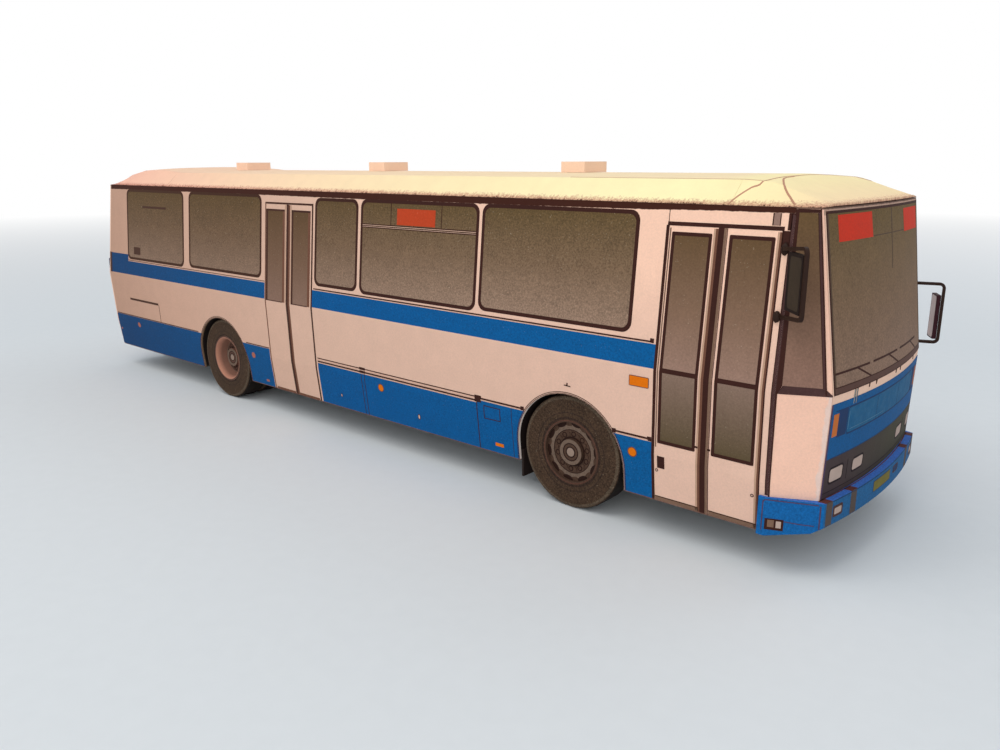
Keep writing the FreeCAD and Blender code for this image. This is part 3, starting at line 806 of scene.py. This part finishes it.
def door_prints():
    """The display and both printed folding doors of the right side."""
    lay = printer(on_side(-1), cuts_v=(SKIRT, BELT))
    lay("side_display", rectangle(11.25, 17.57, 28.0, 29.86), 3, "red_ink")

    # Front door: two panes a leaf, each with a frame round it
    upper, lower, dark = [], [], []
    frame_width = 0.31
    door_top, pane_top, sill = 29.62, 28.75, 4.1
    for u0, u1 in ((47.33, 51.2), (52.8, 56.8)):
        glass = (u0 + frame_width, u1 - frame_width + 0.02)
        upper += rectangle(*glass, 16.88, pane_top)
        lower += rectangle(*glass, 9.95, 16.45)
        dark += between(rounded(u0, u1, 9.62, 29.07, 0.12), rounded(*glass, 9.95, pane_top, 0.05))
        dark += rectangle(*glass, 16.45, 16.88)
    for x, width in ((46.87, 0.3), (57.36, 0.12), (52.56, 0.06)):
        dark += line([(x, FOOT), (x, door_top)], width)
    dark += rectangle(51.74, 52.26, FOOT, door_top)
    dark += line([(46.84, 29.76), (57.45, 29.78)], 0.34) + line([(46.92, 29.8), (46.92, 30.95)], 0.06)
    dark += level(47.05, 51.55, 4.13, 0.09) + level(52.62, 57.2, 4.13, 0.09)
    dark += rectangles((47.35, 48.12, 7.12, 8.34), (51.2, 51.48, 10.02, 10.2),
                       (52.42, 52.72, 10.02, 10.2))
    for x in (47.28, 56.78):
        dark += ring(0.16, 0.09, 12, x, 6.85)
    olive = rectangles((47.1, 47.22, 9.2, 29.4), (52.26, 52.5, FOOT, door_top),
                       (47.05, 51.6, FOOT, sill), (52.62, 57.2, FOOT, sill))
    soft = rectangles((51.32, 51.5, FOOT, 29.5), (56.95, 57.13, FOOT, 29.5))
    brown = rectangles((51.5, 51.76, FOOT, 29.5), (57.13, 57.32, FOOT, 29.5))

    # The head block, the joint band at the side sheet's front end, and the pale post beside it
    top = along(SIDE_FRONT, MARKER_EDGE)
    edge = SIDE_FRONT - 0.005
    head = rectangle(56.46, 57.02, 30.0, 31.0)
    dark += rectangles((57.7, edge, 29.68, top), (56.38, 56.48, 30.0, 31.0),
                       (57.3, 57.96, 28.25, door_top), (57.0, 57.08, 30.0, 31.0),
                       (57.93, 58.02, BUMPER_TOP + 0.1, top))
    dusk = rectangle(58.02, edge, BUMPER_TOP + 0.1, top - 0.1)

    # Rear door: panes almost to the seal, with thin frames
    for u0, u1, left, right in ((-15.27, -10.95, 0.42, 0.46), (-9.4, -5.3, 0.38, 0.5)):
        upper += rectangle(u0 + left, u1 - right, 16.68, pane_top)
        dark += rectangles((u0, u1 - right, 16.56, 16.68), (u0, u0 + left, 16.6, 28.9),
                           (u0, u1, pane_top, 29.0))
        brown += rectangle(u1 - right, u1, 16.6, 28.8)
    dark += rectangle(-10.56, -10.08, FOOT, 29.65) + line([(-15.5, 29.78), (-4.75, 29.8)], 0.24)
    dark += rectangle(-5.02, -4.74, FOOT, 29.7)
    brown += rectangles((-15.52, -15.32, FOOT, 29.7), (-10.08, -9.74, FOOT, 29.6),
                        (-15.1, -10.66, FOOT, 4.0), (-9.7, -5.15, FOOT, 4.0))
    soft += rectangles((-10.95, -10.7, 16.6, 29.6), (-9.6, -9.42, 16.6, 29.6))
    for name, outlines, layer, ink in (
            ("door_glass_upper", upper, 1, "upper_door_glass_ink"),
            ("door_glass_lower", lower, 1, "lower_door_glass_ink"),
            ("door_frames", dark, 2, "dark_line_ink"), ("door_seals", brown, 1, "brown_ink"),
            ("door_olive_strips", olive, 1, "olive_ink"), ("door_post_shade", soft, 1, "door_post_ink"),
            ("door_head_block", head, 1, "tan_ink"), ("door_joint_shade", dusk, 3, "purple_brown_ink")):
        lay(name, outlines, layer, ink)


SIDES = (("right", -1), ("left", 1))
for side, sign in SIDES:
    side_prints(side, sign)
    if side == "right":
        door_prints()

# Corner prints: the quarter window beside the windscreen, and the joint band
STEPS_UP = [BOTTOM + 1.5 * i for i in range(1, 19)] + [SKIRT, BELT]
for side, sign in SIDES:
    place = on_corner(sign)
    lay = printer(place, "_" + side, cuts_v=STEPS_UP)
    pane = [[(0.11, 17.12), (0.835, 17.02), (0.79, 31.08), (0.12, 31.12)]]
    soft = [[(0.04, 16.42), (1.0, 16.34), (1.0, 16.46), (0.9, 16.9), (0.835, 17.02), (0.13, 17.12)]]
    border = [[(0.9, 16.34), (0.925, 31.4), (0.88, 31.4), (0.872, 16.5)],
              [(0.835, 17.02), (0.85, 17.02), (0.815, 31.1), (0.79, 31.08)],
              [(0.08, 31.1), (0.92, 31.1), (0.925, 31.34), (0.075, 31.4)],
              [(0.0, BUMPER_TOP), (0.035, BUMPER_TOP), (0.05, 16.4), (0.12, 17.12), (0.13, 31.36),
               (0.0, 31.36)]]
    shade = [[(0.845, 17.02), (0.875, 16.9), (0.885, 31.2), (0.81, 31.1)],
             [(0.0, BUMPER_TOP), (0.018, BUMPER_TOP), (0.025, 30.8), (0.0, 30.8)]]
    lay("quarter_glass", pane, 0, "quarter_glass_ink")
    lay("quarter_frame", border, 2, "dark_line_ink")
    printed("quarter_border_" + side, [(soft, place, 1), (shade, place, 3)], "purple_brown_ink",
            cuts_v=STEPS_UP)

# Front prints
facet_lines = [-1 + 2 * i / FACETS for i in range(1, FACETS)]
ACROSS = 12.2                          # millimetres to one unit across the front sheet
GLASS_LOW, GLASS_HIGH = 17.0, 31.0
BLUE_TOP, BLUE_FOOT = 15.64, 10.76
lay = printer(on_front, cuts_u=facet_lines, cuts_v=STEPS_UP)
glass = [(-0.973, GLASS_LOW), (0.973, GLASS_LOW), (0.968, GLASS_HIGH), (-0.968, GLASS_HIGH)]
lay("windscreen_glass", [glass], 0, "windscreen_ink")
soft_border = both([[(-0.975, GLASS_LOW), (-0.955, GLASS_LOW), (-0.95, GLASS_HIGH), (-0.968, GLASS_HIGH)]])
soft_border += line([(0.155, 30.98), (0.14, 28.0), (0.115, 25.6)], 0.02)
soft_border += rectangles((-0.25, 0.13, 28.72, 28.82), (0.16, 0.46, 28.72, 28.82))
lay("windscreen_shade", soft_border, 1, "windscreen_shade_ink")
lay("windscreen_border", rectangle(-0.98, 0.98, 16.48, 16.98), 1, "windscreen_border_ink")
lines = both([[(-0.985, 16.4), (-0.973, 16.4), (-0.968, GLASS_HIGH), (-0.98, 31.28)]])
lines += rectangles((-0.965, 0.965, GLASS_HIGH, 31.22), (-0.97, 0.97, 16.96, 17.04),
                    (-0.98, 0.98, 16.4, 16.48))
for start, end in ((-0.965, -0.45), (-0.387, 0.126), (0.194, 0.73)):
    foot = start + (end - start) * 0.98
    lines += rectangle(start, end, 18.06, 18.24)
    lines += [[(foot - 0.2, 18.08), (foot - 0.165, 18.08), (foot + 0.035, 17.02), (foot, 17.02)]]
for u in (-0.463, 0.092, 0.208, 0.663):
    lines += rectangle(u - 0.006, u + 0.006, 16.05, 16.42)
lines += [[(-0.35, 16.42), (-0.338, 16.0), (-0.326, 16.42)]]
lines += rectangles((-0.69, -0.682, 15.15, 16.38), (-0.656, -0.649, 15.15, 16.38))
lay("wipers_and_borders", lines, 2, "dark_line_ink")
lay("wiper_stems", rectangles((-0.698, -0.69, 15.1, 16.35), (-0.664, -0.656, 15.1, 16.35)), 3,
    "pale_grey_ink")
lay("panel_edge_lines", rectangles((-0.735, -0.728, 12.9, 14.5), (-0.7, -0.1, 12.84, 12.9)), 3,
    "panel_line_ink")
lay("front_displays", rectangles((-0.823, -0.268, 28.7, 30.85), (0.482, 0.93, 28.6, 30.72)), 2,
    "front_display_ink")
lay("front_blue_panel", rectangle(-0.99, 0.99, BLUE_FOOT, BLUE_TOP), 0, "front_blue_ink")
panel = rounded(-0.745, 0.745, 12.57, 14.84, 0.3, ACROSS)
lay("grille_panel", [panel], 1, "grille_panel_ink")
navy = between(rounded(-0.75, 0.75, 12.5, 14.92, 0.35, ACROSS), panel)
navy += rectangles((-0.93, 0.93, 14.9, 14.98), (-0.74, 0.93, 12.44, 12.52))
navy += both(rectangle(-0.885, -0.757, 12.55, 14.92))
navy += rectangles((-0.93, 0.93, 10.72, 10.8), (-0.25, -0.245, 12.6, 14.8), (0.25, 0.255, 12.6, 14.8))
lay("panel_lines", navy, 2, "navy_ink")
lay("indicators", both(rectangle(-0.952, -0.886, 12.72, 14.7)), 3, "front_indicator_ink")
lay("lamp_band", rectangle(-0.99, 0.99, 6.9, BLUE_FOOT - 0.02), 0, "lamp_band_ink")
lamps, lamp_rims = [], []
for u0, u1, v0, v1 in ((-0.905, -0.725, 8.5, 9.68), (-0.56, -0.39, 8.56, 9.6),
                       (0.425, 0.6, 8.56, 9.6), (0.83, 0.965, 8.5, 9.68)):
    outline = rounded(u0, u1, v0, v1, 0.24, ACROSS)
    lamps.append(outline)
    lamp_rims += between(rounded(u0 - 0.016, u1 + 0.016, v0 - 0.2, v1 + 0.2, 0.4, ACROSS), outline)
lamp_rims += both(rectangle(-0.655, -0.645, 8.1, 9.95)) + rectangle(-0.975, 0.975, 7.62, 7.7)
lay("headlamps", lamps, 2, "lamp_ink")
lay("headlamp_rims", lamp_rims, 1, "lamp_rim_ink")
lay("front_edge_lines", both(rectangle(-0.992, -0.978, 7.2, 15.6)), 2, "violet_line_ink")

# Bumper prints
LEDGE = 0.75                           # how far the bumper stands out from the front sheet
bumper_cuts = [BUMPER_HALF * share for share in facet_lines]
lay = printer(on_bumper_front, cuts_u=bumper_cuts)
bands = rectangles((-12.2, -11.25, 5.0, BUMPER_TOP), (-8.1, -7.02, 5.0, BUMPER_TOP))
lay("bumper_bands", both(bands), 0, "bumper_band_ink")
fog = rounded(-10.88, -9.72, 5.78, 6.36, 0.12)
lay("fog_lamps", both([fog]), 1, "lamp_ink")
plate_outline = rounded(-3.3, 1.15, 5.72, 6.68, 0.1)
lay("number_plate", [plate_outline], 1, "plate_ink")
browns = both(between(rounded(-11.1, -9.5, 5.55, 6.6, 0.2), fog))
browns += between(rounded(2.15, 3.85, 5.9, 6.62, 0.15), rounded(2.3, 3.7, 6.02, 6.5, 0.1))
lay("bumper_lamp_rims", browns, 1, "purple_brown_ink")
navy = between(rounded(-3.36, 1.21, 5.66, 6.74, 0.12), plate_outline)
navy += rectangles((-11.2, 11.2, BUMPER_TOP - 0.12, BUMPER_TOP - 0.05), (2.35, 3.65, 6.05, 6.46))
lay("bumper_lines", navy, 1, "navy_ink")
reds = both(rectangles((-8.0, -6.9, 0.02, LEDGE), (-12.3, -11.3, 0.02, LEDGE)))
reds += rectangle(-12.1, 12.1, LEDGE - 0.1, LEDGE)
printed("bumper_top_bands", [(reds, on_bumper_top, 0)], "maroon_ink", cuts_u=bumper_cuts)
for side, sign in SIDES:
    flat, corner = on_bumper_side(sign), on_bumper_corner(sign)
    outline = line(smooth([(57.95, 4.1), (57.95, 6.5), (58.02, 6.86), (SIDE_FRONT, 6.96)]), 0.1)
    corner_lines = level(0.0, 0.9, 6.97, 0.1) + rectangle(0.92, 0.945, 4.8, 6.9)
    corner_lines += line([(0.33, 5.14), (0.6, 5.06), (0.85, 5.06)], 0.08)
    printed("bumper_side_lines_" + side, [(outline, flat, 0), (corner_lines, corner, 0)],
            "violet_line_ink")
    lay = printer(corner, "_" + side)
    lay("bumper_step", rectangle(0.0, 0.33, 4.25, 5.28), 1, "dark_line_ink")
    lay("bumper_step_pad", rectangle(0.05, 0.165, 4.5, 5.16), 2, "olive_ink")
    lay("bumper_step_lamp", rectangle(0.2, 0.29, 4.48, 5.1), 2, "lamp_ink")

# Rear prints
SLOT_PITCH, SLOT_WIDTH = 0.6, 0.2      # the hatch's air slots
lay = printer(on_rear, cuts_u=[half_width(BELT) * share for share in facet_lines], cuts_v=STEPS_UP)
rear_glass, rear_lines = framed(-10.4, 10.4, 19.7, 29.9)
lay("rear_glass", rear_glass, 0, "window_glass_ink")
lid = rounded(-9.52, 9.52, 7.88, 16.12, 0.45)
rear_lines += between(rounded(-9.6, 9.6, 7.8, 16.2, 0.5), lid)
for height in (10 + i * SLOT_PITCH for i in range(6)):
    rear_lines += rectangle(-6.5, 6.5, height, height + SLOT_WIDTH)
rear_lines += rectangle(-12.9, 12.9, 30.98, 31.4)
lay("rear_lines", rear_lines, 2, "dark_line_ink")
lay("rear_blue", rectangles((-14.3, 14.3, *BAND), (-13.5, 13.5, BUMPER_TOP + 0.02, SKIRT_TOP)), 0,
    "blue_ink")
lay("rear_red_lamps", both(rectangle(-12.9, -10.9, 10.0, 11.6)), 1, "front_display_ink")
lay("rear_amber_lamps", both(rectangle(-12.9, -10.9, 11.75, 13.2)), 1, "orange_ink")
lay("rear_plate", [rounded(-3.0, 3.0, 13.9, 15.2, 0.15)], 1, "plate_ink")

# Roof seams: two curved joints on each side of the front cap, drawn as place along and across
INNER_JOINT = [(52.3, 12.9), (52.83, 12.18), (53.61, 11.42), (54.3, 10.85), (54.15, 8.4), (54.0, 6.0),
               (54.1, 3.0)]
OUTER_JOINT = [(57.92, 12.63), (57.21, 11.84), (56.59, 11.26), (56.02, 10.52), (54.9, 8.06),
               (54.48, 6.56), (54.4, 4.9), (54.1, 3.0), (54.0, 0.0)]
seams = rectangle(CAP_SEAM_REAR - 0.44, CAP_SEAM_REAR - 0.36, -12.6, 12.6)
for joint, width in ((INNER_JOINT, 0.13), (OUTER_JOINT, 0.17)):
    for sign in (-1, 1):
        seams += line(smooth([(x, sign * y) for x, y in joint]), width)
for sign in (-1, 1):
    seams += line([(34.0, sign * 10.35), (54.1, sign * 10.5)], 0.045)
roof_cuts = [ROOF_HALF * share / 2 for share in range(-2, 3)] + [-10.8, 10.8]
printed("roof_seams", [(seams, on_roof, 2)], "seam_ink", cuts_u=[x for x, rise in FRONT_CAP],
        cuts_v=roof_cuts, slot="roof_card")

# Wheels
HOLES, HOLE_TURN, NUT_TURN = 10, 9, 4
NUT_RING, NUT_RADIUS, NUT_HEIGHT = 1.9, 0.2, 0.16
DISC_DEPTH = {"front": 0.35, "rear": 1.5}
HUB_RISE = {"front": 0.3, "rear": 0.6}
RING_OUTSIDE = {"front": 2.84, "rear": 2.44}
RING_INSIDE, SCALLOP_DEPTH = 2.36, 0.14
HUB_EDGE, HUB_GROOVE, HUB_CAP, HUB_CENTRE = 1.36, 0.98, 0.6, 0.46
# A hand hole in the disc: radius, degrees aside from its middle
HAND_HOLE = [(2.76, -7), (2.7, 0), (2.76, 7), (3.0, 12), (3.17, 11), (3.2, 0), (3.17, -11), (3.0, -12)]


def at_angle(radius, degrees):
    angle = math.radians(90 - degrees)
    return radius * math.cos(angle), radius * math.sin(angle)


def wheel_prints(end, side, sign):
    """Rings, hand holes and hub, printed on a wheel's disc."""
    axle, front, turn = AXLES[end], end == "front", -sign
    face = on_wheel(axle, sign, DISC_DEPTH[end])
    hub = on_wheel(axle, sign, DISC_DEPTH[end] - HUB_RISE[end])

    def lay(name, drawings, ink):
        printed(f"{end}_{name}_{side}", drawings, ink, body=end + "_wheels", slot="rim_card")

    def scallop(angle):
        return SCALLOP_DEPTH * math.cos(HOLES * (angle - math.radians(90 + turn * HOLE_TURN)) + math.pi)

    rim_ring = between(circle(0, 0, RING_OUTSIDE[end], 80, scallop if front else None),
                       circle(0, 0, RING_INSIDE, 80))
    lay("rim_rings", [(rim_ring, face, 0), (ring(HUB_EDGE, HUB_GROOVE), hub, 0)], "rim_light_ink")
    dark = ring(1.6, 1.42, 48) + (ring(RING_INSIDE, 2.28, 64) if front else [])
    for i in range(HOLES):
        middle = turn * (HOLE_TURN + 360 / HOLES * i)
        if front:
            dark.append([at_angle(radius, middle + aside) for radius, aside in HAND_HOLE])
        dark += ring(0.3, NUT_RADIUS, 16, *at_angle(NUT_RING, turn * (NUT_TURN + 360 / HOLES * i)))
    dark_hub = ring(HUB_GROOVE, 0.86) + ring(HUB_CAP, HUB_CENTRE, 32)
    lay("rim_dark_print", [(dark, face, 1), (dark_hub, hub, 0)], "rim_dark_ink")
    lay("hub_centre", [([circle(0, 0, HUB_CENTRE, 32)], hub, 0)], "hub_ink")
    if front:
        lay("rim_edge", [(ring(3.4, 3.34, 80), on_wheel(axle, sign, 0), 0)], "rim_red_ink")


def nut_tree():
    """Geometry nodes: a ring of six-sided nuts, each turned by chance."""
    tree = bpy.data.node_groups.new("nut_ring", "GeometryNodeTree")
    sockets = {}
    for label, kind, value in (("Nut count", "Int", HOLES), ("Ring radius", "Float", NUT_RING * mm),
                               ("Nut radius", "Float", NUT_RADIUS * mm),
                               ("Nut height", "Float", NUT_HEIGHT * mm), ("Seed", "Int", 7),
                               ("Material", "Material", inks["rim_card"])):
        socket = tree.interface.new_socket(label, in_out="INPUT", socket_type="NodeSocket" + kind)
        socket.default_value = value
        sockets[label] = socket.identifier
    tree.interface.new_socket("Geometry", in_out="OUTPUT", socket_type="NodeSocketGeometry")
    given = tree.nodes.new("NodeGroupInput").outputs
    count, ring_radius, nut_radius, nut_height, seed, material = (
        Value(tree, given[label]) for label in sockets)
    places = add_node(tree, "GeometryNodeMeshCircle", None, {"Vertices": count, "Radius": ring_radius})
    nut = add_node(tree, "GeometryNodeMeshCylinder", None,
                   {"Vertices": 6, "Radius": nut_radius, "Depth": nut_height})
    turned = add_node(tree, "FunctionNodeRandomValue", {"data_type": "FLOAT"},
                      {3: math.pi / 3, "Seed": seed}, 1)
    spin = add_node(tree, "ShaderNodeCombineXYZ", None, {"Z": turned})
    placed = add_node(tree, "GeometryNodeInstanceOnPoints", None,
                      {"Points": places, "Instance": nut, "Rotation": spin})
    real = add_node(tree, "GeometryNodeRealizeInstances", None, {"Geometry": placed})
    painted = add_node(tree, "GeometryNodeSetMaterial", None, {"Geometry": real, "Material": material})
    feed(tree, tree.nodes.new("NodeGroupOutput").inputs[0], painted)
    return tree, sockets


nut_group, nut_sockets = nut_tree()


def nuts(end, side, sign):
    """A ring of wheel nuts, made by the node tree and laid on the rim's disc."""
    carrier = put("nut_carrier", bpy.data.meshes.new("nut_carrier"))
    modifier = carrier.modifiers.new("nuts", "NODES")
    modifier.node_group = nut_group
    modifier[nut_sockets["Nut count"]] = HOLES
    modifier[nut_sockets["Seed"]] = 7 if side == "right" else 11
    modifier[nut_sockets["Material"]] = inks["rim_card"]
    evaluated = carrier.evaluated_get(bpy.context.evaluated_depsgraph_get())
    mesh = bpy.data.meshes.new_from_object(evaluated)
    bpy.data.objects.remove(carrier)
    mesh.name = f"{end}_wheel_nuts_{side}"
    turn = Matrix.Rotation(math.radians(-NUT_TURN * sign), 4, "Y") @ \
        Matrix.Rotation(math.radians(90), 4, "X")
    centre = Vector((AXLES[end], sign * (WHEEL_FACE - DISC_DEPTH[end] + 0.03), AXLE_HEIGHT)) * mm
    mesh.transform(Matrix.Translation(centre) @ turn)
    piece = put(mesh.name, mesh)
    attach(piece, end + "_wheels")


for end in AXLES:
    for side, sign in SIDES:
        wheel_prints(end, side, sign)
        nuts(end, side, sign)


# Mirrors: printed faces, light on the left mirror and dark on the right as painted reflections, and blobs
# of glue and paint at the bracket's roots
def on_plate(node, outward):
    """One big face of a mirror plate: u across, v up, from the plate's middle. Also its half sizes."""
    corners = [v.co / mm for v in node.data.vertices]
    low, top = min(c.z for c in corners), max(c.z for c in corners)
    foot = []
    for c in corners:
        if c.z < low + 0.01 and all((c - f).length > 0.01 for f in foot):
            foot.append(c)
    first = foot[0]
    thick, wide = sorted((c - first for c in foot[1:]), key=lambda side: side.length)[:2]
    if wide.x < 0:
        wide = -wide
    middle = sum(foot, Vector()) / len(foot)
    centre = Vector((middle.x, middle.y, (low + top) / 2))
    across, normal = wide.normalized(), thick.normalized() * outward
    half = thick.length / 2
    size = (wide.length / 2, (top - low) / 2)
    return (lambda u, v, out: tuple(centre + across * u + Vector((0, 0, v)) + normal * (half + out))), size


FACE_MARGIN = {"right": (0.24, 0.5), "left": (0.12, 0.12)}   # round the face, and along its rear edge
for side, (margin, behind) in FACE_MARGIN.items():
    drawings = []
    for outward in (1, -1):
        place, (half_u, half_v) = on_plate(nodes["mirror_plate_" + side], outward)
        drawings.append(([rounded(behind - half_u, half_u - margin, margin - half_v,
                                  half_v - margin, 0.3)], place, 0))
    printed("mirror_face_" + side, drawings, "mirror_face_" + side, slot="dark_card")


def blob(name, centre, radii):
    """An uneven blob of glue, painted over."""
    bm = bmesh.new()
    bmesh.ops.create_icosphere(bm, subdivisions=3, radius=1.0)
    phase = [chance.uniform(0, 6.28) for _ in range(6)]
    for vert in bm.verts:
        p = vert.co.copy()
        swell = 1 + 0.1 * math.sin(3 * p.x + phase[0]) * math.sin(3 * p.y + phase[1]) \
            + 0.08 * math.sin(5 * p.z + phase[2]) * math.sin(4 * p.x + phase[3])
        vert.co = (Vector(centre) + Vector(c * r for c, r in zip(p * swell, radii))) * mm
    for polygon in new_piece(name, bm, "wire_paint", "root").data.polygons:
        polygon.use_smooth = True


for side, sign, drop, height in (("right", -1, 3.14, 5.8), ("left", 1, 8.68, 6.44)):
    for label, z, lift in (("upper", ROOF - drop, -0.15), ("lower", ROOF - drop - height, 0.2)):
        root = (SIDE_FRONT - 0.5, sign * (half_width(z) + 0.12), z + lift)
        blob(f"mirror_root_{label}_{side}", root, (0.3, 0.26, 0.5))

# Table, light, camera
FLOOR_HALF = 900.0
FADE = (330, 440)                      # where the table turns into the white ground
TABLE_COLOUR = (0.76, 0.79, 0.80, 1.0)
FILL_COLOUR, FILL_STRENGTH = (0.86, 0.92, 1.0, 1.0), 0.55
PURE_WHITE = (1, 1, 1, 1)


def floor():
    bm = bmesh.new()
    bmesh.ops.create_grid(bm, x_segments=1, y_segments=1, size=FLOOR_HALF * mm)
    mesh = bpy.data.meshes.new("table")
    bm.to_mesh(mesh)
    bm.free()
    paint = Paint("table")
    grain = paint.noise(0.6, 4.0)
    shade = paint.times(TABLE_COLOUR, 1 + (grain - 0.5) * 0.04)
    mesh.materials.append(paint.finish(shade, 0.85, grain, 0.02, 0.2))
    distance = (paint.x * paint.x + paint.y * paint.y) ** 0.5
    glow = paint.add("ShaderNodeEmission", None, {"Color": PURE_WHITE, "Strength": 1.0})
    matt = Value(paint.tree, paint.shader.outputs[0])
    joined = paint.add("ShaderNodeMixShader", None, {0: distance.above(*FADE), 1: matt, 2: glow})
    feed(paint.tree, paint.output, joined)
    put("table", mesh)


def lamp(name, energy, size, place, target, colour):
    light = bpy.data.lights.new(name, "AREA")
    light.energy, light.size, light.color = energy, size * mm, colour
    piece = put(name, light)
    piece.location = Vector(place) * mm
    piece.rotation_euler = (Vector(target) - Vector(place)).to_track_quat("-Z", "Y").to_euler()


def studio():
    """White for the camera and in reflections, a pale fill light for the rest."""
    world = bpy.data.worlds.new("studio")
    bpy.context.scene.world = world
    world.use_nodes = True
    tree = world.node_tree
    tree.nodes.clear()
    rays = tree.nodes.new("ShaderNodeLightPath").outputs
    seen, glossy, through = (Value(tree, rays[f"Is {kind} Ray"])
                             for kind in ("Camera", "Glossy", "Transmission"))
    seen = seen.maths("MAXIMUM", seen, glossy.maths("MAXIMUM", glossy, through))
    fill = add_node(tree, "ShaderNodeBackground", None, {"Color": FILL_COLOUR, "Strength": FILL_STRENGTH})
    white = add_node(tree, "ShaderNodeBackground", None, {"Color": PURE_WHITE, "Strength": 1.0})
    sky = add_node(tree, "ShaderNodeMixShader", None, {0: seen, 1: fill, 2: white})
    feed(tree, tree.nodes.new("ShaderNodeOutputWorld").inputs[0], sky)


floor()
lamp("key_light", 0.46, 260, (-20, -170, 330), (0, 0, 10), (1.0, 0.97, 0.93))
lamp("side_light", 0.42, 300, (210, -330, 150), (10, 0, 15), (1.0, 0.98, 0.96))
lamp("back_light", 0.2, 300, (120, 300, 260), (0, 0, 10), (0.95, 0.97, 1.0))
studio()

PHOTO_WIDTH, FOCAL_PIXELS = 1000, 827.14
SENSOR_WIDTH = 36
YAW, PITCH, ROLL = (math.radians(angle) for angle in (41.20, 14.47, -0.21))
EYE = (84.52, -78.87, 35.10)
camera = bpy.data.cameras.new("camera")
camera.sensor_width = SENSOR_WIDTH
camera.lens = SENSOR_WIDTH * FOCAL_PIXELS / PHOTO_WIDTH
camera.clip_start, camera.clip_end = 2 * mm, 10000 * mm
holder = put("camera", camera)
heading = Vector((-math.sin(YAW) * math.cos(PITCH), math.cos(YAW) * math.cos(PITCH), -math.sin(PITCH)))
right = heading.cross(Vector((0, 0, 1))).normalized()
up = right.cross(heading)
rolled = right * math.cos(ROLL) + up * math.sin(ROLL)
upright = up * math.cos(ROLL) - right * math.sin(ROLL)
turned = Matrix((rolled, upright, -heading)).transposed()
holder.matrix_world = Matrix.Translation(Vector(EYE) * mm) @ turned.to_4x4()
bpy.context.scene.camera = holder
bpy.context.scene.view_settings.view_transform = "Standard"
